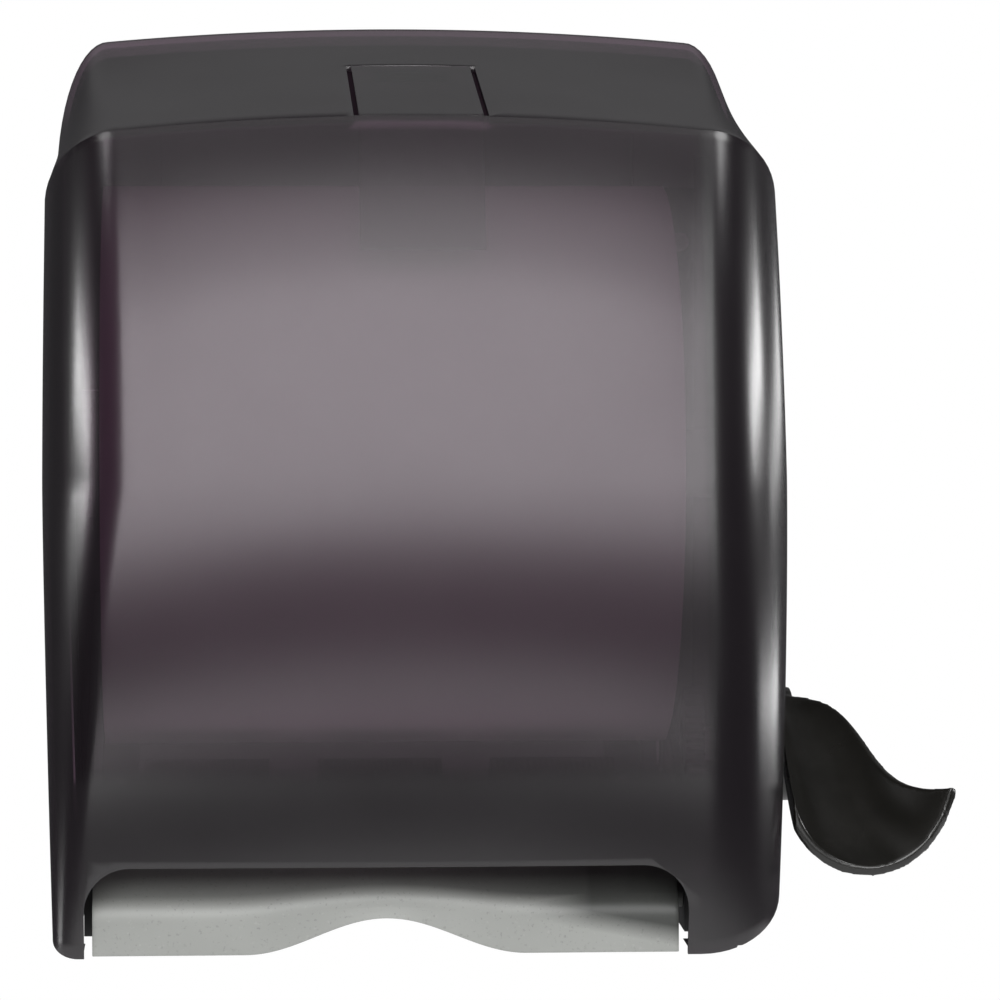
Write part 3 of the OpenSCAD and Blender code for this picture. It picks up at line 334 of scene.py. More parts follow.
class Wiring:
    """Short calls for placing and joining nodes in one tree."""

    def __init__(self, tree):
        self.tree = tree

    def add(self, kind, **values):
        node = self.tree.nodes.new(kind)
        for key, value in values.items():
            setattr(node, key, value)
        return node

    def join(self, source, target):
        self.tree.links.new(source, target)

    def math(self, operation, a, b=None, clamp=False):
        node = self.add("ShaderNodeMath", operation=operation, use_clamp=clamp)
        for i, value in enumerate((a, b)):
            if value is None:
                continue
            if isinstance(value, (int, float)):
                node.inputs[i].default_value = value
            else:
                self.join(value, node.inputs[i])
        return node.outputs[0]

    def mix_colour(self, factor, a, b):
        node = self.add("ShaderNodeMix", data_type="RGBA")
        for socket, value in ((node.inputs["Factor"], factor), (node.inputs[6], a), (node.inputs[7], b)):
            if isinstance(value, (int, float)):
                socket.default_value = value
            elif isinstance(value, tuple):
                socket.default_value = (*value[:3], 1.0)
            else:
                self.join(value, socket)
        return node.outputs[2]

    def range(self, value, low, high, to_low=0.0, to_high=1.0):
        node = self.add("ShaderNodeMapRange")
        self.join(value, node.inputs["Value"])
        node.inputs["From Min"].default_value = low
        node.inputs["From Max"].default_value = high
        node.inputs["To Min"].default_value = to_low
        node.inputs["To Max"].default_value = to_high
        return node.outputs["Result"]

    def place(self, scale=(1.0, 1.0, 1.0), location=(0.0, 0.0, 0.0)):
        """Object coordinates through a mapping."""
        coordinates = self.add("ShaderNodeTexCoord")
        mapping = self.add("ShaderNodeMapping")
        mapping.inputs["Location"].default_value = location
        mapping.inputs["Scale"].default_value = scale
        self.join(coordinates.outputs["Object"], mapping.inputs["Vector"])
        return mapping.outputs["Vector"]

    def noise(self, vector, scale, detail=2.0, roughness=0.5):
        node = self.add("ShaderNodeTexNoise")
        self.join(vector, node.inputs["Vector"])
        node.inputs["Scale"].default_value = scale
        node.inputs["Detail"].default_value = detail
        node.inputs["Roughness"].default_value = roughness
        return node.outputs["Fac"]

    def split(self, vector):
        """The vector's parts, named X, Y and Z."""
        node = self.add("ShaderNodeSeparateXYZ")
        self.join(vector, node.inputs[0])
        return node.outputs

    def bump(self, shader, height, strength, distance):
        """Raises the shader's surface by the height, over a distance in metres."""
        node = self.add("ShaderNodeBump")
        node.inputs["Strength"].default_value = strength
        node.inputs["Distance"].default_value = distance
        self.join(height, node.inputs["Height"])
        self.join(node.outputs["Normal"], shader.inputs["Normal"])


def group_socket(tree, name, kind, way, default=None):
    socket = tree.interface.new_socket(name=name, in_out=way, socket_type=kind)
    if default is not None:
        socket.default_value = default


def moulding_grain_group():
    """Fine grain and faint flow marks of a moulded surface: a height and a roughness."""
    tree = bpy.data.node_groups.new("Moulding grain", "ShaderNodeTree")
    group_socket(tree, "Grain scale", "NodeSocketFloat", "INPUT", 2600.0)
    group_socket(tree, "Roughness", "NodeSocketFloat", "INPUT", 0.4)
    group_socket(tree, "Roughness spread", "NodeSocketFloat", "INPUT", 0.06)
    group_socket(tree, "Height", "NodeSocketFloat", "OUTPUT")
    group_socket(tree, "Surface roughness", "NodeSocketFloat", "OUTPUT")
    wires = Wiring(tree)
    given = wires.add("NodeGroupInput")
    result = wires.add("NodeGroupOutput")
    coordinates = wires.add("ShaderNodeTexCoord").outputs["Object"]
    grain = wires.add("ShaderNodeTexNoise")
    wires.join(coordinates, grain.inputs["Vector"])
    wires.join(given.outputs["Grain scale"], grain.inputs["Scale"])
    grain.inputs["Detail"].default_value = 3.0
    flow = wires.noise(coordinates, 22.0, 3.0, 0.6)
    height = wires.math("ADD", grain.outputs["Fac"], wires.math("MULTIPLY", flow, 0.35))
    wires.join(height, result.inputs["Height"])
    swing = wires.math("MULTIPLY", wires.math("SUBTRACT", flow, 0.5), given.outputs["Roughness spread"])
    rough = wires.math("ADD", given.outputs["Roughness"], wires.math("MULTIPLY", swing, 2.0))
    wires.join(rough, result.inputs["Surface roughness"])
    return tree


def dusting_group():
    """A thin, uneven dust that settles on faces turned upwards: mixes a colour towards it."""
    tree = bpy.data.node_groups.new("Settled dust", "ShaderNodeTree")
    group_socket(tree, "Colour", "NodeSocketColor", "INPUT", (0.5, 0.5, 0.5, 1.0))
    group_socket(tree, "Dust", "NodeSocketColor", "INPUT", (0.55, 0.53, 0.50, 1.0))
    group_socket(tree, "Amount", "NodeSocketFloat", "INPUT", 0.1)
    group_socket(tree, "Dusted colour", "NodeSocketColor", "OUTPUT")
    wires = Wiring(tree)
    given = wires.add("NodeGroupInput")
    result = wires.add("NodeGroupOutput")
    normal = wires.split(wires.add("ShaderNodeNewGeometry").outputs["Normal"])
    up = wires.range(normal["Z"], 0.2, 0.95)
    coordinates = wires.add("ShaderNodeTexCoord").outputs["Object"]
    patches = wires.range(wires.noise(coordinates, 45.0, 5.0, 0.65), 0.35, 0.75)
    amount = wires.math("MULTIPLY", wires.math("MULTIPLY", up, patches), given.outputs["Amount"], clamp=True)
    dusted = wires.mix_colour(amount, given.outputs["Colour"], given.outputs["Dust"])
    wires.join(dusted, result.inputs["Dusted colour"])
    return tree


def start_material(name):
    """A new material with its wiring and its shader."""
    material = bpy.data.materials.new(name)
    material.use_nodes = True
    wires = Wiring(material.node_tree)
    shader = material.node_tree.nodes["Principled BSDF"]
    return material, wires, shader


GRAIN_DEPTH = 0.00006  # height of the moulding's grain, metres


def add_grain(wires, shader, scale, roughness, spread, strength):
    """Gives the shader the moulding's grain, with its own scale and strength."""
    grain = wires.add("ShaderNodeGroup", node_tree=bpy.data.node_groups["Moulding grain"])
    grain.inputs["Grain scale"].default_value = scale
    grain.inputs["Roughness"].default_value = roughness
    grain.inputs["Roughness spread"].default_value = spread
    wires.bump(shader, grain.outputs["Height"], strength, GRAIN_DEPTH)
    wires.join(grain.outputs["Surface roughness"], shader.inputs["Roughness"])


def add_dust(wires, shader, colour, amount):
    """Gives the shader a colour, given or wired, with dust on it."""
    dust = wires.add("ShaderNodeGroup", node_tree=bpy.data.node_groups["Settled dust"])
    dust.inputs["Amount"].default_value = amount
    if isinstance(colour, tuple):
        dust.inputs["Colour"].default_value = (*colour[:3], 1.0)
    else:
        wires.join(colour, dust.inputs["Colour"])
    wires.join(dust.outputs["Dusted colour"], shader.inputs["Base Color"])


# ---------------------------------------------------------------- finishes


# How the cover holds back light, on top of the density that the settings give: more at a slant, and painted
# shade beside the roll and below it
SLANT_POWER = 1.4
SLANT_MOST = 0.98
PAINTED_SHADE_SHARE = 0.94  # the most painted shade, beside the roll and below it
ROLL_MIDDLE = -0.009  # the roll's middle along X, metres
SHADE_BESIDE_ROLL = (0.1025, 0.112)  # painted shade beside the roll, from the roll's middle outwards, metres
SHADE_BESIDE_TOP = (0.120, 0.140)  # heights over which that painted shade fades out, metres
SHADE_BELOW_ROLL = (-0.108, -0.090)  # heights over which the painted shade fades out below the roll, metres


def smoked_plastic(finish):
    """See-through smoked moulding: it holds back more light where it is seen at a slant,
    and is made more opaque, and so darker, beside the roll and below it, as painted shade."""
    material, wires, shader = start_material("smoked plastic")
    shader.inputs["Base Color"].default_value = (0.0075, 0.0052, 0.0072, 1.0)
    shader.inputs["Specular IOR Level"].default_value = 0.8
    shader.inputs["Coat Weight"].default_value = 0.35
    shader.inputs["Coat Roughness"].default_value = 0.2
    add_grain(wires, shader, 1800.0, 0.25, 0.03, 0.04)
    clear = wires.add("ShaderNodeBsdfTransparent")
    clear.inputs["Color"].default_value = (*finish.smoke, 1.0)
    slant = wires.add("ShaderNodeLayerWeight")
    slant.inputs["Blend"].default_value = 0.5
    slanted = wires.math("POWER", slant.outputs["Facing"], SLANT_POWER)
    held = wires.math("MULTIPLY", slanted, SLANT_MOST - finish.smoke_density)
    held = wires.math("ADD", held, finish.smoke_density, clamp=True)
    # Painted shade: the cover turns more opaque, and so darker, beside the roll and below it, hiding what
    # lies behind.
    at = wires.split(wires.place(location=(-ROLL_MIDDLE, 0.0, 0.0)))
    beside = wires.range(wires.math("ABSOLUTE", at["X"]), *SHADE_BESIDE_ROLL)
    beside = wires.math("MULTIPLY", beside, wires.range(at["Z"], *SHADE_BESIDE_TOP, 1.0, 0.0))
    below = wires.range(at["Z"], *SHADE_BELOW_ROLL, 1.0, 0.0)
    painted_shade = wires.math("MULTIPLY", wires.math("MAXIMUM", beside, below), PAINTED_SHADE_SHARE)
    held = wires.math("MAXIMUM", held, painted_shade)
    mix = wires.add("ShaderNodeMixShader")
    wires.join(held, mix.inputs["Fac"])
    wires.join(clear.outputs[0], mix.inputs[1])
    wires.join(shader.outputs[0], mix.inputs[2])
    wires.join(mix.outputs[0], material.node_tree.nodes["Material Output"].inputs["Surface"])
    return material


def tinted(colour, share):
    """The colour made darker or paler by a share of itself."""
    return tuple(min(1.0, c * share) for c in colour)


# Painted shade in the chute's mouth, where the cover keeps the light off, and in its right corner
SHADE_COLOUR = (0.012, 0.014, 0.012)
MOUTH_SHADE_DEPTH = (-0.2160, -0.2115)  # from the lip inwards, over which the painted shade sets in, metres
MOUTH_SHADE_ACROSS = (-0.02, 0.075)  # along X, over which the painted shade deepens, metres
MOUTH_SHADE = (0.45, 0.90)
SHADED_CORNER_ACROSS = (0.03, 0.09)  # along X, over which the painted shaded corner's edge falls, metres
SHADED_CORNER_EDGE = (0.016, 0.005)  # height of that edge, metres
SHADED_CORNER_BLUR = (-0.003, 0.004)
CORNER_SHADE = 0.88


def speckled_plastic(finish):
    """Light grey moulding with fine darker and paler flecks, and painted shade: greyer back in the mouth,
    where the cover keeps the light off, deeper towards the right and in a corner at the right."""
    material, wires, shader = start_material("speckled grey plastic")
    place = wires.place()
    fine = wires.range(wires.noise(place, 900.0), 0.62, 0.74)
    pale = wires.range(wires.noise(place, 640.0), 0.64, 0.76)
    cloud = wires.range(wires.noise(place, 38.0, 3.0), 0.3, 0.7)
    base = tuple(finish.chute_grey)
    colour = wires.mix_colour(cloud, tinted(base, 0.96), tinted(base, 1.04))
    colour = wires.mix_colour(wires.math("MULTIPLY", fine, 0.45), colour, tinted(base, 0.55))
    colour = wires.mix_colour(wires.math("MULTIPLY", pale, 0.35), colour, tinted(base, 1.3))
    # Painted shade: darker from behind the lip inwards, deepening towards the right, and a shaded corner at
    # the right, dark above a line that falls towards the right.
    at = wires.split(place)
    inward = wires.range(at["Y"], *MOUTH_SHADE_DEPTH)
    aside = wires.range(at["X"], *MOUTH_SHADE_ACROSS, *MOUTH_SHADE)
    edge = wires.range(at["X"], *SHADED_CORNER_ACROSS, *SHADED_CORNER_EDGE)
    height = wires.math("ADD", at["Z"], MOUNT_HEIGHT * MM)
    corner = wires.range(wires.math("SUBTRACT", height, edge), *SHADED_CORNER_BLUR, 0.0, CORNER_SHADE)
    corner = wires.math("MULTIPLY", corner, wires.range(at["X"], 0.03, 0.06))
    shade = wires.math("MAXIMUM", wires.math("MULTIPLY", inward, aside), corner)
    add_dust(wires, shader, wires.mix_colour(shade, colour, SHADE_COLOUR), 0.02)
    shader.inputs["Specular IOR Level"].default_value = 0.45
    add_grain(wires, shader, 2200.0, 0.42, 0.05, 0.25)
    return material


def black_plastic(finish):
    """The lever's near black moulding with a soft gloss."""
    material, wires, shader = start_material("black lever plastic")
    add_dust(wires, shader, tuple(finish.lever_black), 0.02)
    shader.inputs["Specular IOR Level"].default_value = 0.75
    add_grain(wires, shader, 3000.0, 0.26, 0.04, 0.10)
    return material


def dark_plastic(finish):
    """Dark structural moulding."""
    material, wires, shader = start_material("dark frame plastic")
    add_dust(wires, shader, (0.028, 0.028, 0.029), 0.05)
    add_grain(wires, shader, 1900.0, 0.52, 0.08, 0.4)
    return material


def grey_plastic(finish):
    """Mid grey structural moulding."""
    material, wires, shader = start_material("grey housing plastic")
    place = wires.place()
    cloud = wires.range(wires.noise(place, 16.0, 4.0), 0.3, 0.7)
    base = tuple(finish.housing_grey)
    colour = wires.mix_colour(cloud, tinted(base, 0.95), tinted(base, 1.05))
    add_dust(wires, shader, colour, 0.12)
    add_grain(wires, shader, 1700.0, 0.5, 0.07, 0.35)
    return material


def bright_steel(finish):
    """Plain drawn steel with fine lines along X."""
    material, wires, shader = start_material("bright steel")
    shader.inputs["Base Color"].default_value = (0.62, 0.61, 0.60, 1.0)
    shader.inputs["Metallic"].default_value = 1.0
    lines = wires.noise(wires.place(scale=(30.0, 2400.0, 2400.0)), 1.0, 3.0, 0.6)
    wires.join(wires.range(lines, 0.25, 0.75, 0.22, 0.42), shader.inputs["Roughness"])
    wires.bump(shader, lines, 0.12, 0.00003)
    return material


def black_rubber(finish):
    """Matt rubber with ground rings round the rollers."""
    material, wires, shader = start_material("black rubber")
    place = wires.place()
    ring = wires.range(wires.math("PINGPONG", wires.split(place)["X"], 0.0011), 0.0002, 0.0009)
    fleck = wires.noise(place, 1300.0, 3.0)
    add_dust(wires, shader, (0.022, 0.021, 0.020), 0.08)
    shader.inputs["Roughness"].default_value = 0.78
    wires.bump(shader, wires.math("ADD", ring, wires.math("MULTIPLY", fleck, 0.3)), 0.5, 0.0003)
    return material


PAPER_LAYER = 0.0006  # half of the pitch of the layers drawn on the roll's ends, metres


def towel_paper(finish, centre):
    """Wound towel paper: crepe on the outside, fine layers on the ends."""
    material, wires, shader = start_material("towel paper")
    place = wires.place()
    at = wires.split(place)
    dy = wires.math("SUBTRACT", at["Y"], centre[0])
    dz = wires.math("SUBTRACT", at["Z"], centre[1])
    squares = wires.math("ADD", wires.math("MULTIPLY", dy, dy), wires.math("MULTIPLY", dz, dz))
    radius = wires.math("SQRT", squares)
    layer = wires.range(wires.math("PINGPONG", radius, PAPER_LAYER), 0.0, PAPER_LAYER)
    normal = wires.split(wires.add("ShaderNodeNewGeometry").outputs["Normal"])
    on_end = wires.range(wires.math("ABSOLUTE", normal["X"]), 0.5, 0.8)
    crepe = wires.noise(wires.place(scale=(350.0, 1500.0, 1500.0)), 1.0, 4.0, 0.65)
    cloud = wires.range(wires.noise(place, 24.0, 4.0), 0.3, 0.7)
    base = tuple(finish.paper_white)
    colour = wires.mix_colour(cloud, tinted(base, 0.965), base)
    shade = wires.math("MULTIPLY", wires.math("MULTIPLY", layer, on_end), 0.22)
    wires.join(wires.mix_colour(shade, colour, tinted(base, 0.6)), shader.inputs["Base Color"])
    shader.inputs["Roughness"].default_value = 0.88
    shader.inputs["Specular IOR Level"].default_value = 0.2
    outside = wires.math("MULTIPLY", crepe, wires.math("SUBTRACT", 1.0, on_end))
    height = wires.math("ADD", outside, wires.math("MULTIPLY", layer, on_end))
    wires.bump(shader, height, 0.35, 0.0002)
    return material


def core_board(finish):
    """Wound board of the roll's core, with a spiral seam."""
    material, wires, shader = start_material("core board")
    at = wires.split(wires.place())
    along = wires.math("ADD", at["X"], wires.math("MULTIPLY", at["Z"], 0.8))
    seam = wires.range(wires.math("PINGPONG", along, 0.03), 0.0, 0.0006, 1.0, 0.0)
    fibre = wires.noise(wires.place(scale=(300.0, 900.0, 900.0)), 1.0, 5.0, 0.7)
    colour = wires.mix_colour(fibre, (0.30, 0.215, 0.135), (0.50, 0.385, 0.26))
    colour = wires.mix_colour(wires.math("MULTIPLY", seam, 0.6), colour, (0.16, 0.11, 0.07))
    wires.join(colour, shader.inputs["Base Color"])
    shader.inputs["Roughness"].default_value = 0.85
    wires.bump(shader, fibre, 0.3, 0.00015)
    return material


SLOT_FINISH = {
    "smoked_plastic": "smoked plastic",
    "black_plastic": "black lever plastic",
    "dark_plastic": "dark frame plastic",
    "grey_plastic": "grey housing plastic",
    "speckled_plastic": "speckled grey plastic",
    "steel": "bright steel",
    "rubber": "black rubber",
    "paper": "towel paper",
    "cardboard": "core board",
}


def dress(piece, finish_name):
    """Gives the piece one finish all over."""
    piece.data.materials.clear()
    piece.data.materials.append(bpy.data.materials[finish_name])


# ---------------------------------------------------------------- the cover's form


class CoverForm:
    """The rule of the cover's skin. Cross-sections stand on a spine along X on the wall
    plane, and each plane is tilted by an angle: -90 points down, 0 forwards, 90 up."""

    front_crown = 5.0
    crease_crown = 4.0
    edge_x = 34.0
    edge_ratio = 1.35
    top_edge_x = 20.0
    top_edge_drop = 55.0
    foot_left = 9.0
    foot_right = 30.0
    foot_back = 4.0
    foot_ratio = 1.1
    foot_ease = 1.2
    foot_from = 60.0  # degrees below forwards, where the feet's corners grow smaller
    foot_over = 24.0  # degrees
    least_corner = 0.3
    bow = 0.4

    def __init__(self, sizes):
        self.s = sizes
        self.spine = sizes.height / 2
        self.slope = math.tan(sizes.top_fall)
        self.arc_q = sizes.depth - sizes.arc_radius
        self.arc_v = sizes.arc_height - self.spine
        self.foot_angle = self.foot_phi(0.0)

    def top_line(self, inset):
        """Height over the spine where the top's line meets the wall."""
        return self.spine - inset * math.sqrt(1 + self.slope**2)

    def crease_q(self, inset):
        """Distance from the wall to the crease between front and top."""
        r = self.s.arc_radius - inset
        rise = self.top_line(inset) - self.arc_v
        a = 1 + self.slope**2
        b = self.arc_q + self.slope * rise
        c = self.arc_q**2 + rise**2 - r**2
        return (b + math.sqrt(b * b - a * c)) / a

    def crease_phi(self, inset):
        q = self.crease_q(inset)
        return math.degrees(math.atan2(self.top_line(inset) - self.slope * q, q))

    def bottom_q(self, inset):
        """Distance from the wall to the front's bottom edge."""
        v = -self.spine + inset - self.arc_v
        r = self.s.arc_radius - inset
        return self.arc_q + math.sqrt(r * r - v * v)

    def foot_phi(self, inset):
        return math.degrees(math.atan2(inset - self.spine, self.bottom_q(inset)))

    def reach(self, phi, inset):
        """Distance from the spine to the skin's middle line at a tilt."""
        c, s = math.cos(math.radians(phi)), math.sin(math.radians(phi))
        if phi >= self.crease_phi(inset) - 1e-9:
            return self.top_line(inset) / (s + self.slope * c)
        if phi <= self.foot_phi(inset) + 1e-9:
            return (inset - self.spine) / s
        b = self.arc_q * c + self.arc_v * s
        r = self.s.arc_radius - inset
        return b + math.sqrt(b * b - (self.arc_q**2 + self.arc_v**2 - r * r))

    def half_section(self, phi, inset, side, counts):
        """Points (x, distance from the spine) from the wall to the middle, on one side."""
        up = max(0.0, phi)
        blend = math.sin(math.radians(up)) ** 2
        down = min(1.0, max(0.0, phi / self.foot_angle))
        late = min(1.0, max(0.0, (-phi - self.foot_from) / self.foot_over))
        width = lerp(self.s.half_width, self.s.wall_half_width, blend)
        crown = self.front_crown + self.crease_crown * math.sin(math.radians(2 * up))
        rx = lerp(self.edge_x, self.top_edge_x, blend)
        ry = lerp(self.edge_x * self.edge_ratio, self.top_edge_drop, blend)
        if phi < 0:
            width = lerp(self.s.half_width, self.s.foot_half_width, down**self.foot_ease)
            crown = self.front_crown * max(0.0, 1 - (phi / self.foot_angle) ** 2)
            foot = lerp(self.foot_left if side < 0 else self.foot_right, self.foot_back, late)
            rx = lerp(self.edge_x, foot, down)
            ry = rx * lerp(self.edge_ratio, self.foot_ratio, down)
        w = width - inset
        rx = max(self.least_corner, rx - inset)
        ry = max(self.least_corner, ry - inset)
        r = self.reach(phi, inset)
        edge = r - crown
        sides, corner, face = counts
        points = []
        for i in range(1, sides):
            t = i / sides
            x = lerp(self.s.wall_half_width - inset, w, t) + self.bow * (1 - t * t)
            points.append((side * x, (edge - ry) * t))
        for i in range(corner + 1):
            a = math.pi / 2 * i / corner
            points.append((side * (w - rx + rx * math.cos(a)), edge - ry + ry * math.sin(a)))
        for i in range(1, face):
            u = 1 - i / face
            points.append((side * (w - rx) * u, edge + crown * (1 - u * u)))
        return points, (0.0, r)

    def section(self, phi, inset, counts):
        right, middle = self.half_section(phi, inset, 1, counts)
        left, _ = self.half_section(phi, inset, -1, counts)
        return right + [middle] + left[::-1]

    def tilts(self, inset, steps):
        """The planes' tilts, from straight down to straight up, in degrees."""
        feet, front, top = steps
        a, b = self.foot_phi(inset), self.crease_phi(inset)
        values = [lerp(-90.0, a, i / feet) for i in range(feet)]
        values += [lerp(a, b, i / front) for i in range(front)]
        values += [lerp(b, 90.0, i / top) for i in range(top + 1)]
        return values

    def skin(self, inset, steps, counts):
        """Vertices of one skin: rows by tilt, then the two spine ends."""
        points = []
        for phi in self.tilts(inset, steps):
            c, s = math.cos(math.radians(phi)), math.sin(math.radians(phi))
            points += [put(x, -q * c, self.spine + q * s) for x, q in self.section(phi, inset, counts)]
        end = self.s.wall_half_width - inset + self.bow
        points += [put(end, 0.0, self.spine), put(-end, 0.0, self.spine)]
        return points


SHELL_STEPS = (14, 72, 30)  # planes over the feet, the front and the top
SHELL_COUNTS = (8, 14, 16)  # points along a side, a corner and half of the face


def cover_blank(form):
    """The closed shell before its openings are cut."""
    steps, counts = SHELL_STEPS, SHELL_COUNTS
    n = sum(steps) + 1
    m = 2 * (counts[0] - 1 + counts[1] + 1 + counts[2] - 1) + 1
    outer, inner = form.skin(0.0, steps, counts), form.skin(form.s.wall, steps, counts)
    right, left = n * m, n * m + 1
    faces = []
    for i in range(n - 1):
        for j in range(m - 1):
            a = i * m + j
            faces.append([a, a + m, a + m + 1, a + 1])
        faces.append([right, (i + 1) * m, i * m])
        faces.append([left, i * m + m - 1, (i + 1) * m + m - 1])
    shift = left + 1
    faces += [[v + shift for v in reversed(f)] for f in list(faces)]
    loop = [right, *range(m), left, *[(n - 1) * m + j for j in range(m - 1, -1, -1)]]
    for a, b in zip(loop, loop[1:] + loop[:1]):
        faces.append([a, b, b + shift, a + shift])
    shell = new_piece("cover_shell_skin", outer + inner, faces)
    outward(shell)
    return shell


def arc(cy, ch, radius, first, last, steps):
    """Points round (cy, ch) between two angles in degrees."""
    return [
        (cy + radius * math.cos(math.radians(a)), ch + radius * math.sin(math.radians(a)))
        for a in np.linspace(first, last, steps)
    ]


# Places as (y, height) and sizes, in millimetres
FLOOR_LEFT = 6.6  # what is left of the floor at each side
HINGE = (-12.0, 10.0)
HEEL_RADIUS = 11.5
SHAFT = (-100.0, 60.0)
SHAFT_SLOT_HALF = 8.0
MOUTH_GAP = 2.7
LATCH_X = 2.0
BUTTON_HALF = 22.0
BUTTON_GAP = 1.8
BUTTON_REAR = 82.0
BUTTON_FRONT_GAP = 1.5  # between the crease and the button's window
PAST = 3.0  # how far a cutter reaches past the wall's plane and the bottom edge


def mouth_outline(chute):
    """The mouth's outline of (x, height) points, with round upper corners."""
    half = chute.width / 2 + MOUTH_GAP
    r, top = chute.mouth_radius, chute.mouth_height
    turns = np.linspace(0, math.pi / 2, 14)
    corner = [(half - r + r * math.cos(a), top - r + r * math.sin(a)) for a in turns]
    outline = [(chute.centre + half, -PAST)] + [(chute.centre + x, h) for x, h in corner]
    return outline + [(chute.centre - x, h) for x, h in reversed(corner)] + [(chute.centre - half, -PAST)]


def shaft_slot_outline():
    """The path that the lever's shaft takes through the cover's side as the cover swings."""
    path = math.hypot(SHAFT[0] - HINGE[0], SHAFT[1] - HINGE[1])
    start = math.degrees(math.atan2(SHAFT[1] - HINGE[1], SHAFT[0] - HINGE[0]))
    outer, inner = path + SHAFT_SLOT_HALF, path - SHAFT_SLOT_HALF
    slot = arc(*HINGE, outer, math.degrees(math.acos((PAST - HINGE[0]) / outer)), start, 40)
    slot += arc(*SHAFT, SHAFT_SLOT_HALF, start, start + 180, 20)[1:-1]
    slot += arc(*HINGE, inner, start, math.degrees(math.acos((PAST - HINGE[0]) / inner)), 40)
    return slot


def cover_cutters(form, chute):
    """The pieces that cut the cover's openings."""
    s = form.s
    floor_front, floor_top = -(form.bottom_q(0) - s.wall), s.wall + 0.01
    floor_half = s.foot_half_width - FLOOR_LEFT
    floor = [(floor_front, -PAST), (PAST, -PAST), (PAST, floor_top), (floor_front, floor_top)]
    heel = [(HINGE[0], -PAST)] + arc(*HINGE, HEEL_RADIUS, 270, 360, 16)[:-1]
    heel += [(-0.5, HINGE[1]), (PAST, HINGE[1]), (PAST, -PAST)]
    front = -(form.crease_q(0) - BUTTON_FRONT_GAP)
    low, high = s.height / 2, s.height + 9
    window = [(front, low), (-BUTTON_REAR, low), (-BUTTON_REAR, high), (front, high)]
    reach = BUTTON_HALF + BUTTON_GAP
    return [
        prism_x("cut_floor", floor, -floor_half, floor_half),
        prism_y("cut_mouth", mouth_outline(chute), -238.0, -117.0),
        prism_x("cut_shaft_slot", shaft_slot_outline(), s.wall_half_width - 30, s.half_width + 4),
        prism_x("cut_heel", heel, -140.0, 140.0),
        prism_x("cut_button_window", window, LATCH_X - reach, LATCH_X + reach),
    ]


# ---------------------------------------------------------------- the chute's form


LIP_SETBACK = 6.0  # of the lip behind the cover's bottom edge
RAMP_RUN = 1.15  # depth of the ramp behind the lip, over its rise
BEND_RADIUS = 9.0
BEND_RISE = 5.2  # how much higher the bend lies over the arch
BEND_SETBACK = 0.9  # how much further back it lies there
BEND_SPREAD = 0.62  # half of the width of that rise, over the arch's width
CHUTE_COLUMNS = 137
CHUTE_ROWS = 34
BEND_ROWS = 7


def hump(x, half_width):
    """A smooth rise from 0 to 1 at x = 0 and back, over twice the half width."""
    u = x / half_width
    return (1 + math.cos(math.pi * u)) / 2 if abs(u) < 1 else 0.0


def chute_column(c, x, lip_y, top_y):
    """The chute's section at x, as (y, height, direction inwards): its lip from the arch
    up, the bend and the ramp behind it."""
    swell = hump(x - c.centre, c.arch_width * BEND_SPREAD)
    bend = c.bend_height + BEND_RISE * swell
    lip_top = lip_y + BEND_SETBACK * swell
    slope = math.atan2(c.top_height - bend, top_y - lip_top)
    low = c.arch_height * hump(x - c.centre, c.arch_width / 2)
    high = bend - BEND_RADIUS * math.tan((math.pi / 2 - slope) / 2)
    lip_rows = CHUTE_ROWS // 2
    column = []
    for i in range(lip_rows):
        t = i / lip_rows
        column.append((lerp(lip_y, lip_top, t), lerp(low, high, t), (1.0, 0.0)))
    middle = lip_top + BEND_RADIUS
    for i in range(BEND_ROWS):
        a = math.pi - (math.pi / 2 - slope) * i / (BEND_ROWS - 1)
        y, h = middle + BEND_RADIUS * math.cos(a), high + BEND_RADIUS * math.sin(a)
        column.append((y, h, (-math.cos(a), -math.sin(a))))
    ramp_rows = CHUTE_ROWS - lip_rows - BEND_ROWS
    a = math.pi / 2 + slope
    for i in range(1, ramp_rows + 1):
        t = i / ramp_rows
        column.append((lerp(y, top_y, t), lerp(h, c.top_height, t), (-math.cos(a), -math.sin(a))))
    return column


def chute_sheet(c):
    """The chute as one sheet of even thickness: its lip follows the arch, and the bend
    above the lip rises with it."""
    form = CoverForm(bpy.context.scene.cover_settings)
    lip_y = -(form.bottom_q(0) - LIP_SETBACK)
    top_y = lip_y + (c.top_height - c.bend_height) * RAMP_RUN
    left, right = c.centre - c.width / 2, c.centre + c.width / 2
    xs = np.linspace(left, right, CHUTE_COLUMNS)
    columns = [chute_column(c, x, lip_y, top_y) for x in xs]
    vertices = [
        put(x, y + inward_y * inset, h + inward_h * inset)
        for inset in (0.0, c.wall)
        for x, column in zip(xs, columns)
        for y, h, (inward_y, inward_h) in column
    ]
    sheet = new_piece("chute_sheet", vertices, sheet_faces(CHUTE_COLUMNS, CHUTE_ROWS))
    outward(sheet)
    return sheet, lip_y, top_y, left, right


def chute_web(c, lip_y, top_y):
    """The outline of the chute's end webs, of (y, height) points."""
    return [
        (lip_y + 0.6, 0.6),
        (lip_y + 0.6, c.bend_height - 4),
        (lip_y + 3.2, c.bend_height + 0.4),
        (top_y, c.top_height - 1.2),
        (top_y + 7, c.top_height - 6),
        (lip_y + 40, 22),
        (lip_y + 40, 9),
        (lip_y + 26, 4),
    ]


STUD_ENDS = (-114.05, 94.35)  # x where the chute's studs meet the side frames
STUD_BEHIND_LIP = 34.0
STUD_HEIGHT = 16.0
STUD_RADIUS = 5.0


# ---------------------------------------------------------------- the paddle's form


PADDLE_ROOT = 1.2  # x where the paddle's sheet starts, beyond the cover's side
PADDLE_GAP = 1.6  # between the cover's side and what is left of the paddle
HUB_DEPTH = 9.0
SHAFT_HOLE_DEPTH = 7.0
SHAFT_HOLE_RADIUS = 6.05
PADDLE_STEPS = 44
SKIN_VOXEL = 0.0008  # metres
SKIN_EASE = 0.5
SKIN_PASSES = 7


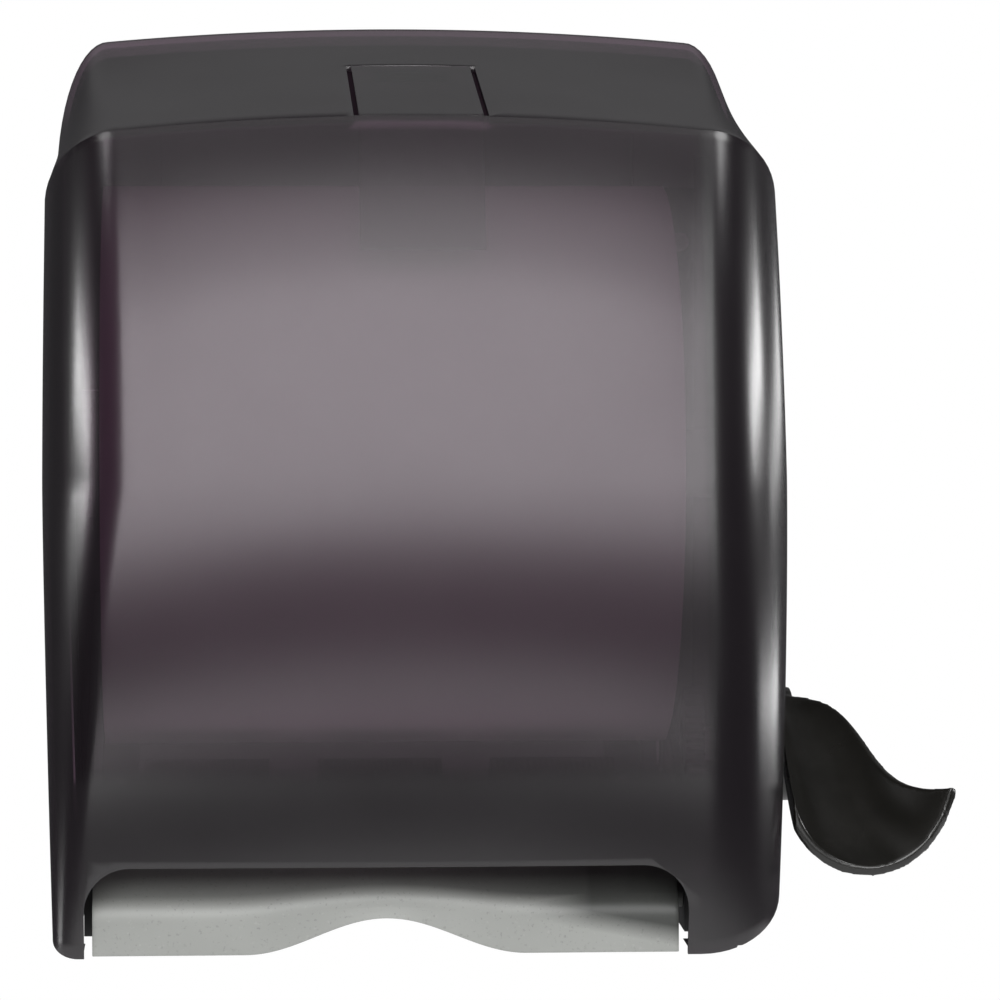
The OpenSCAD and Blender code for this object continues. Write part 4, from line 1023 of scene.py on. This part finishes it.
def paddle_rows(r):
    """Four rows of control points from the hub to the tip: (outwards, forwards, up) from
    the shaft, for a reach of r."""
    return np.array(
        [
            [[2, 8, 19], [4.5, 9, 19.5], [7.5, 10, 19.5], [0.21 * r, 11, 18.5]],
            [[2, 34, 17], [0.14 * r, 36, 3], [0.46 * r, 37, 9], [0.66 * r, 34, 19.5]],
            [[0, 66, 5], [0, 68, -23], [0.32 * r, 68, -28], [0.4 * r, 64, -14]],
            [[0, 92, -2], [0, 93, -40], [0.84 * r, 93, -48], [r, 90, -6]],
        ],
        float,
    )


def bezier(p, t):
    """The point at t on the curve over four control points."""
    return (1 - t) ** 3 * p[0] + 3 * t * (1 - t) ** 2 * p[1] + 3 * t * t * (1 - t) * p[2] + t**3 * p[3]


def paddle_mesh(s, side_x):
    """A thick sheet over the rows of control points, before it is joined to its hub."""
    rows = paddle_rows(s.reach)

    def at(u, v):
        return bezier([bezier(row, v) for row in rows], u)

    def normal(u, v):
        d = 0.01
        across = at(u, min(1, v + d)) - at(u, max(0, v - d))
        along = at(min(1, u + d), v) - at(max(0, u - d), v)
        n = np.cross(across, along)
        return n / np.linalg.norm(n)

    def body(p):
        return put(side_x + PADDLE_ROOT + p[0], SHAFT[0] - p[1], SHAFT[1] + p[2])

    steps, n = PADDLE_STEPS, PADDLE_STEPS + 1
    grid = [(i / steps, j / steps) for i in range(n) for j in range(n)]
    top = [body(at(u, v)) for u, v in grid]
    under = [body(at(u, v) - s.thickness * normal(u, v)) for u, v in grid]
    sheet = new_piece("lever_paddle_skin", top + under, sheet_faces(n, n))
    outward(sheet)
    return sheet


# ---------------------------------------------------------------- geometry node trees


def tree_with(name, inputs):
    """A geometry tree with the given named inputs: (name, socket kind, default)."""
    tree = bpy.data.node_groups.new(name, "GeometryNodeTree")
    group_socket(tree, "Geometry", "NodeSocketGeometry", "INPUT")
    for label, kind, default in inputs:
        group_socket(tree, label, kind, "INPUT", default)
    group_socket(tree, "Geometry", "NodeSocketGeometry", "OUTPUT")
    wires = Wiring(tree)
    return tree, wires, wires.add("NodeGroupInput"), wires.add("NodeGroupOutput")


def finish_tree(wires, geometry, given, result, smooth=True):
    """Realize, smooth and set the material, as the tree's last steps."""
    real = wires.add("GeometryNodeRealizeInstances")
    wires.join(geometry, real.inputs[0])
    last = real.outputs[0]
    if smooth:
        shade = wires.add("GeometryNodeSetShadeSmooth")
        wires.join(last, shade.inputs["Geometry"])
        last = shade.outputs[0]
    finish = wires.add("GeometryNodeSetMaterial")
    wires.join(last, finish.inputs["Geometry"])
    wires.join(given.outputs["Finish"], finish.inputs["Material"])
    wires.join(finish.outputs[0], result.inputs[0])


def run_tree(name, tree, values):
    """An object whose mesh is what the tree makes from the named values."""
    mesh = bpy.data.meshes.new(name)
    piece = bpy.data.objects.new(name, mesh)
    bpy.context.scene.collection.objects.link(piece)
    modifier = piece.modifiers.new("Make", "NODES")
    modifier.node_group = tree
    for item in tree.interface.items_tree:
        if item.item_type == "SOCKET" and item.in_out == "INPUT" and item.name in values:
            modifier[item.identifier] = values[item.name]
    return bake_modifiers(piece)


def winding_tree():
    """A wound roll turned about X: a zigzag profile on each end stands for its layers."""
    tree, wires, given, result = tree_with(
        "Towel winding",
        [
            ("Outer radius", "NodeSocketFloat", 0.1016),
            ("Core radius", "NodeSocketFloat", 0.0203),
            ("Width", "NodeSocketFloat", 0.2032),
            ("Layers", "NodeSocketInt", 64),
            ("Relief", "NodeSocketFloat", 0.0003),
            ("Finish", "NodeSocketMaterial", None),
        ],
    )
    count = wires.math("MULTIPLY", given.outputs["Layers"], 2.0)
    points = wires.math("ADD", wires.math("MULTIPLY", count, 2.0), 2.0)
    line = wires.add("GeometryNodeMeshLine")
    wires.join(points, line.inputs["Count"])
    index = wires.add("GeometryNodeInputIndex").outputs[0]
    per_end = wires.math("ADD", count, 1.0)
    second = wires.math("GREATER_THAN", index, wires.math("SUBTRACT", per_end, 0.5))
    step = wires.math("SUBTRACT", index, wires.math("MULTIPLY", second, per_end))
    share = wires.math("DIVIDE", step, count)
    way = wires.math("SUBTRACT", 1.0, wires.math("MULTIPLY", second, 2.0))
    share = wires.math("ADD", wires.math("MULTIPLY", share, way), second)
    span = wires.math("SUBTRACT", given.outputs["Outer radius"], given.outputs["Core radius"])
    radius = wires.math("ADD", given.outputs["Core radius"], wires.math("MULTIPLY", share, span))
    odd = wires.math("MODULO", step, 2.0)
    inward = wires.math("MULTIPLY", odd, given.outputs["Relief"])
    edge = wires.math("SUBTRACT", wires.math("MULTIPLY", given.outputs["Width"], 0.5), inward)
    side = wires.math("SUBTRACT", wires.math("MULTIPLY", second, 2.0), 1.0)
    place = wires.add("ShaderNodeCombineXYZ")
    wires.join(radius, place.inputs["X"])
    wires.join(wires.math("MULTIPLY", edge, side), place.inputs["Y"])
    move = wires.add("GeometryNodeSetPosition")
    wires.join(line.outputs[0], move.inputs["Geometry"])
    wires.join(place.outputs[0], move.inputs["Position"])
    profile = wires.add("GeometryNodeMeshToCurve")
    wires.join(move.outputs[0], profile.inputs[0])
    closed = wires.add("GeometryNodeSetSplineCyclic")
    closed.inputs["Cyclic"].default_value = True
    wires.join(profile.outputs[0], closed.inputs["Geometry"])
    turn = wires.add("GeometryNodeCurvePrimitiveCircle")
    turn.inputs["Resolution"].default_value = 160
    turn.inputs["Radius"].default_value = 0.00001
    sweep = wires.add("GeometryNodeCurveToMesh")
    wires.join(turn.outputs[0], sweep.inputs["Curve"])
    wires.join(closed.outputs[0], sweep.inputs["Profile Curve"])
    finish_tree(wires, sweep.outputs[0], given, result, smooth=False)
    return tree


# The return spring: turns, and sizes in metres
COIL_TURNS = 9.0
COIL_RADIUS = 0.0038
COIL_WIRE = 0.0007
COIL_LEG = 0.004


def spring_tree():
    """An open coil along Z with a straight leg at each end."""
    tree, wires, given, result = tree_with(
        "Return spring",
        [
            ("Turns", "NodeSocketFloat", COIL_TURNS),
            ("Coil radius", "NodeSocketFloat", COIL_RADIUS),
            ("Wire radius", "NodeSocketFloat", COIL_WIRE),
            ("Length", "NodeSocketFloat", 0.0454),
            ("Leg", "NodeSocketFloat", COIL_LEG),
            ("Finish", "NodeSocketMaterial", None),
        ],
    )
    coil = wires.add("GeometryNodeCurveSpiral")
    coil.inputs["Resolution"].default_value = 36
    wires.join(given.outputs["Turns"], coil.inputs["Rotations"])
    wires.join(given.outputs["Coil radius"], coil.inputs["Start Radius"])
    wires.join(given.outputs["Coil radius"], coil.inputs["End Radius"])
    wires.join(given.outputs["Length"], coil.inputs["Height"])
    legs = []
    for far in (False, True):
        leg = wires.add("GeometryNodeCurvePrimitiveLine")
        ends = []
        for outer in (False, True):
            corner = wires.add("ShaderNodeCombineXYZ")
            if not outer:
                wires.join(given.outputs["Coil radius"], corner.inputs["X"])
            base = wires.math("MULTIPLY", given.outputs["Length"], 1.0 if far else 0.0)
            shift = wires.math("MULTIPLY", given.outputs["Leg"], (1.0 if far else -1.0) if outer else 0.0)
            wires.join(wires.math("ADD", base, shift), corner.inputs["Z"])
            ends.append(corner.outputs[0])
        wires.join(ends[0], leg.inputs["Start"])
        wires.join(ends[1], leg.inputs["End"])
        legs.append(leg.outputs[0])
    joined = wires.add("GeometryNodeJoinGeometry")
    for part in (coil.outputs[0], *legs):
        wires.join(part, joined.inputs[0])
    wire = wires.add("GeometryNodeCurvePrimitiveCircle")
    wire.inputs["Resolution"].default_value = 12
    wires.join(given.outputs["Wire radius"], wire.inputs["Radius"])
    sweep = wires.add("GeometryNodeCurveToMesh")
    sweep.inputs["Fill Caps"].default_value = True
    wires.join(joined.outputs[0], sweep.inputs["Curve"])
    wires.join(wire.outputs[0], sweep.inputs["Profile Curve"])
    finish_tree(wires, sweep.outputs[0], given, result)
    return tree


# ---------------------------------------------------------------- operators


LEAF_CUTS = 14


def leaf_spring():
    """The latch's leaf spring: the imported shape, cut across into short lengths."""
    leaf = bpy.data.objects.new("latch_leaf", frame["nodes"]["latch_spring"].data.copy())
    bpy.context.scene.collection.objects.link(leaf)
    low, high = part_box("latch_spring")
    bm = bmesh.new()
    bm.from_mesh(leaf.data)
    for y in np.linspace(low.y, high.y, LEAF_CUTS + 2)[1:-1]:
        parts = bm.verts[:] + bm.edges[:] + bm.faces[:]
        bmesh.ops.bisect_plane(bm, geom=parts, plane_co=(0.0, y, 0.0), plane_no=(0.0, 1.0, 0.0))
    bm.to_mesh(leaf.data)
    bm.free()
    return leaf


class DISPENSER_OT_finishes(bpy.types.Operator):
    """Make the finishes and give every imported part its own"""

    bl_idname = "dispenser.finishes"
    bl_label = "Finishes"

    def execute(self, context):
        finish = context.scene.finish_settings
        moulding_grain_group()
        dusting_group()
        for make in (smoked_plastic, speckled_plastic, black_plastic, dark_plastic, grey_plastic,
                     bright_steel, black_rubber, core_board):
            make(finish)
        low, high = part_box("towel_roll")
        towel_paper(finish, ((low.y + high.y) / 2, (low.z + high.z) / 2))
        slots = {s["node"]: s["material_slot"] for s in frame["record"]["subparts"]}
        for node, piece in frame["nodes"].items():
            dress(piece, SLOT_FINISH[slots[node]])
        return {"FINISHED"}


class DISPENSER_OT_cover(bpy.types.Operator):
    """Make the smoked cover with its openings"""

    bl_idname = "dispenser.cover"
    bl_label = "Cover"

    def execute(self, context):
        settings = context.scene.cover_settings
        form = CoverForm(settings)
        shell = cover_blank(form)
        combine(shell, cover_cutters(form, context.scene.chute_settings), "DIFFERENCE")
        soften(shell, settings.edge_softness * MM, angle=42.0)
        shade_by_angle(shell, 32.0)
        dress(shell, "smoked plastic")
        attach(shell, "cover")
        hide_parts("cover_shell")
        return {"FINISHED"}


class DISPENSER_OT_chute(bpy.types.Operator):
    """Make the chute with its wavy lip and its end webs"""

    bl_idname = "dispenser.chute"
    bl_label = "Chute"

    def execute(self, context):
        chute = context.scene.chute_settings
        sheet, lip_y, top_y, left, right = chute_sheet(chute)
        soften(sheet, 0.0006, angle=50.0)
        pieces = [sheet]
        outline = chute_web(chute, lip_y, top_y)
        for side, x in (("left", left), ("right", right - chute.wall)):
            web = prism_x(f"chute_web_{side}", outline, x + 0.02, x + chute.wall - 0.02)
            soften(web, 0.0005)
            pieces.append(web)
        stud_y = lip_y + STUD_BEHIND_LIP
        for side, x0, x1 in (("left", STUD_ENDS[0], left + 1), ("right", right - 1, STUD_ENDS[1])):
            pieces.append(disc_x(f"chute_stud_{side}", x0, x1, stud_y, STUD_HEIGHT, STUD_RADIUS))
        for piece in pieces:
            shade_by_angle(piece, 35.0)
            dress(piece, "speckled grey plastic")
            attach(piece, "housing")
        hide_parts("chute")
        return {"FINISHED"}


class DISPENSER_OT_lever(bpy.types.Operator):
    """Make the lever's paddle"""

    bl_idname = "dispenser.lever"
    bl_label = "Lever paddle"

    def execute(self, context):
        s = context.scene.lever_settings
        side = context.scene.cover_settings.half_width
        root = side + PADDLE_GAP
        paddle = paddle_mesh(s, side)
        inside = [(-400, -200), (100, -200), (100, 300), (-400, 300)]
        combine(paddle, [prism_x("cut_side", inside, side - 20, root)], "DIFFERENCE")
        hub = disc_x("lever_hub", root, root + HUB_DEPTH, *SHAFT, s.hub_radius, 96)
        combine(paddle, [hub], "UNION")
        skin = paddle.modifiers.new("Skin", "REMESH")
        skin.mode = "VOXEL"
        skin.voxel_size = SKIN_VOXEL
        ease = paddle.modifiers.new("Ease", "SMOOTH")
        ease.factor = SKIN_EASE
        ease.iterations = SKIN_PASSES
        bake_modifiers(paddle)
        low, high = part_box("lever_paddle")
        set_points(paddle, np.clip(points_of(paddle), np.array(low), np.array(high)))
        hole = disc_x("cut_shaft", side - 2, root + SHAFT_HOLE_DEPTH, *SHAFT, SHAFT_HOLE_RADIUS, 64)
        combine(paddle, [hole], "DIFFERENCE")
        shade_by_angle(paddle, 45.0)
        dress(paddle, "black lever plastic")
        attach(paddle, "lever")
        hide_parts("lever_paddle")
        return {"FINISHED"}


class DISPENSER_OT_roll(bpy.types.Operator):
    """Wind the towel roll"""

    bl_idname = "dispenser.roll"
    bl_label = "Towel roll"

    def execute(self, context):
        s = context.scene.roll_settings
        low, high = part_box("towel_roll")
        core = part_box("roll_core")
        roll = run_tree(
            "towel_winding",
            winding_tree(),
            {
                "Outer radius": (high.z - low.z) / 2,
                "Core radius": (core[1].z - core[0].z) / 2 + 0.00005,
                "Width": high.x - low.x,
                "Layers": s.layers,
                "Relief": s.relief,
                "Finish": bpy.data.materials["towel paper"],
            },
        )
        centre = (low + high) / 2
        wound = points_of(roll)
        turned = [wound[:, 2] + centre.x, wound[:, 0] + centre.y, wound[:, 1] + centre.z]
        set_points(roll, np.stack(turned, 1))
        outward(roll)
        shade_by_angle(roll, 30.0)
        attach(roll, "roll")
        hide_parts("towel_roll")
        return {"FINISHED"}


SOFT_EDGED = (
    "latch_button",
    "gear_plate",
    "left_side_frame",
    "right_side_frame",
    "latch_catch",
    "lever_crank",
    "paper_guide",
    "roll_arm_left",
    "roll_arm_bracket",
    "cover_hinge_lugs",
    "latch_bracket",
)
WELD_REACH = 0.000005  # metres


class DISPENSER_OT_small_parts(bpy.types.Operator):
    """Make the return spring and the latch's leaf spring, and ease the edges of the mouldings"""

    bl_idname = "dispenser.small_parts"
    bl_label = "Springs and edges"

    def execute(self, context):
        low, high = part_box("lever_return_spring")
        spring = run_tree(
            "return_spring_coil",
            spring_tree(),
            {
                "Turns": COIL_TURNS,
                "Coil radius": COIL_RADIUS,
                "Wire radius": COIL_WIRE,
                "Length": (high.y - low.y) - 2 * COIL_LEG,
                "Leg": COIL_LEG,
                "Finish": bpy.data.materials["bright steel"],
            },
        )
        middle = (low + high) / 2
        seat = Matrix.Translation((middle.x, low.y + COIL_LEG, middle.z))
        spring.data.transform(seat @ Matrix.Rotation(math.radians(-90), 4, "X"))
        spring.data.update()
        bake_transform(spring)
        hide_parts("lever_return_spring")
        leaf = leaf_spring()
        dress(leaf, "bright steel")
        low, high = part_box("latch_spring")
        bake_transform(leaf)
        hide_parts("latch_spring")
        for name in SOFT_EDGED:
            node = frame["nodes"][name]
            weld = node.modifiers.new("Weld", "WELD")
            weld.merge_threshold = WELD_REACH
            soften(node, 0.0004, angle=38.0, bake=False)
        return {"FINISHED"}


def direction(azimuth, elevation):
    """Outwards from the object: azimuth 0 is in front and 90 on its right, in degrees."""
    a, e = math.radians(azimuth), math.radians(elevation)
    return Vector((math.sin(a) * math.cos(e), -math.cos(a) * math.cos(e), math.sin(e)))


CAMERA_AIM = (0.0334, -0.116, 0.1519 - MOUNT_HEIGHT * MM)
CAMERA_AZIMUTH, CAMERA_ELEVATION = -3.25, 3.5
LAMP_AIM = Vector((0.0, -0.12, -0.01))
FLOOR_RADIUS = 0.95
FLOOR_SIDES = 96
# Name, azimuth and elevation in degrees, distance, size in metres, and radiance
LAMPS = (
    ("Front softbox", 0.0, 24.0, 2.0, (1.8, 1.05), 4.9),
    ("Upper front softbox", 0.0, 43.0, 2.0, (1.8, 0.45), 2.6),
    ("Top softbox", 0.0, 68.0, 1.6, (1.4, 0.6), 0.9),
    ("Low front fill", 0.0, -9.0, 2.1, (1.5, 0.28), 2.4),
    ("Left softbox", -86.0, 14.5, 1.5, (0.60, 0.16), 17.0),
    ("Low left strip", -88.0, -20.0, 1.5, (0.5, 0.06), 8.0),
    ("Right softbox", 96.0, 13.0, 1.5, (0.6, 0.14), 14.0),
    ("Right rear strip", 128.0, 3.0, 1.5, (0.9, 0.10), 3.0),
    ("Low right strip", 105.0, -7.5, 1.5, (1.0, 0.05), 11.0),
    ("Upper right softbox", 68.0, 50.0, 1.5, (0.5, 0.4), 5.5),
    ("Upper left softbox", -68.0, 50.0, 1.5, (0.5, 0.4), 4.0),
    ("Back panel", 180.0, 27.0, 2.0, (2.2, 0.6), 0.12),
)


def softbox(name, azimuth, elevation, distance, size, radiance):
    """A rectangular lamp round the object: radiance is what a mirror of it would show."""
    out = direction(azimuth, elevation)
    lamp = bpy.data.lights.new(name, "AREA")
    lamp.shape = "RECTANGLE"
    lamp.size, lamp.size_y = size
    lamp.energy = radiance * math.pi * size[0] * size[1]
    holder = bpy.data.objects.new(name, lamp)
    bpy.context.scene.collection.objects.link(holder)
    holder.location = LAMP_AIM + out * distance
    holder.rotation_euler = out.to_track_quat("Z", "Y").to_euler()
    return holder


class DISPENSER_OT_studio(bpy.types.Operator):
    """Place the camera, the lamps, the floor and the pale background"""

    bl_idname = "dispenser.studio"
    bl_label = "Studio"

    def execute(self, context):
        s = context.scene.studio_settings
        back = direction(CAMERA_AZIMUTH, CAMERA_ELEVATION)
        camera = bpy.data.cameras.new("Camera")
        camera.sensor_width = 36.0
        camera.lens = s.lens
        camera.clip_start, camera.clip_end = 0.05, 50.0
        holder = bpy.data.objects.new("Camera", camera)
        context.scene.collection.objects.link(holder)
        holder.location = Vector(CAMERA_AIM) + back * s.camera_distance
        holder.rotation_euler = (-back).to_track_quat("-Z", "Y").to_euler()
        context.scene.camera = holder

        lamps = [softbox(*values) for values in LAMPS]
        world = bpy.data.worlds.new("Pale studio")
        context.scene.world = world
        world.use_nodes = True
        wires = Wiring(world.node_tree)
        background = world.node_tree.nodes["Background"]
        path = wires.add("ShaderNodeLightPath")
        seen = wires.math("MAXIMUM", path.outputs["Is Camera Ray"], path.outputs["Is Transmission Ray"])
        wires.join(wires.mix_colour(seen, (0.055, 0.055, 0.057), (1.0, 1.0, 1.0)), background.inputs["Color"])
        background.inputs["Strength"].default_value = 1.0

        turns = np.linspace(0, 2 * math.pi, FLOOR_SIDES, endpoint=False)
        rim = [(FLOOR_RADIUS * math.cos(a), FLOOR_RADIUS * math.sin(a), s.floor_height) for a in turns]
        floor = new_piece("Floor", rim, [list(range(FLOOR_SIDES))], smooth=False)
        material, _, shader = start_material("pale floor")
        shader.inputs["Base Color"].default_value = (0.86, 0.86, 0.86, 1.0)
        shader.inputs["Roughness"].default_value = 0.9
        floor.data.materials.append(material)

        context.scene.view_settings.view_transform = "Standard"
        return {"FINISHED"}


STEPS = (
    DISPENSER_OT_studio,
    DISPENSER_OT_finishes,
    DISPENSER_OT_cover,
    DISPENSER_OT_chute,
    DISPENSER_OT_lever,
    DISPENSER_OT_roll,
    DISPENSER_OT_small_parts,
)


class DISPENSER_PT_panel(bpy.types.Panel):
    """Lists the pieces in the sidebar"""

    bl_idname = "DISPENSER_PT_panel"
    bl_label = "Lever towel dispenser"
    bl_space_type = "VIEW_3D"
    bl_region_type = "UI"
    bl_category = "Dispenser"

    def draw(self, context):
        layout = self.layout
        for step in STEPS:
            layout.operator(step.bl_idname)
        for group in SETTINGS:
            box = layout.box()
            box.label(text=group.replace("_", " ").capitalize())
            settings = getattr(context.scene, group)
            for key in settings.bl_rna.properties.keys():
                if key not in {"rna_type", "name"}:
                    box.prop(settings, key)


SETTINGS = {
    "cover_settings": CoverSettings,
    "chute_settings": ChuteSettings,
    "lever_settings": LeverSettings,
    "roll_settings": RollSettings,
    "finish_settings": FinishSettings,
    "studio_settings": StudioSettings,
}


def register():
    for group, kind in SETTINGS.items():
        bpy.utils.register_class(kind)
        setattr(bpy.types.Scene, group, bpy.props.PointerProperty(type=kind))
    for kind in (*STEPS, DISPENSER_PT_panel):
        bpy.utils.register_class(kind)


def unregister():
    for kind in reversed((*STEPS, DISPENSER_PT_panel)):
        bpy.utils.unregister_class(kind)
    for group, kind in reversed(list(SETTINGS.items())):
        delattr(bpy.types.Scene, group)
        bpy.utils.unregister_class(kind)


def main():
    register()
    for step in STEPS:
        family, name = step.bl_idname.split(".")
        getattr(getattr(bpy.ops, family), name)()


if __name__ == "__main__":
    main()
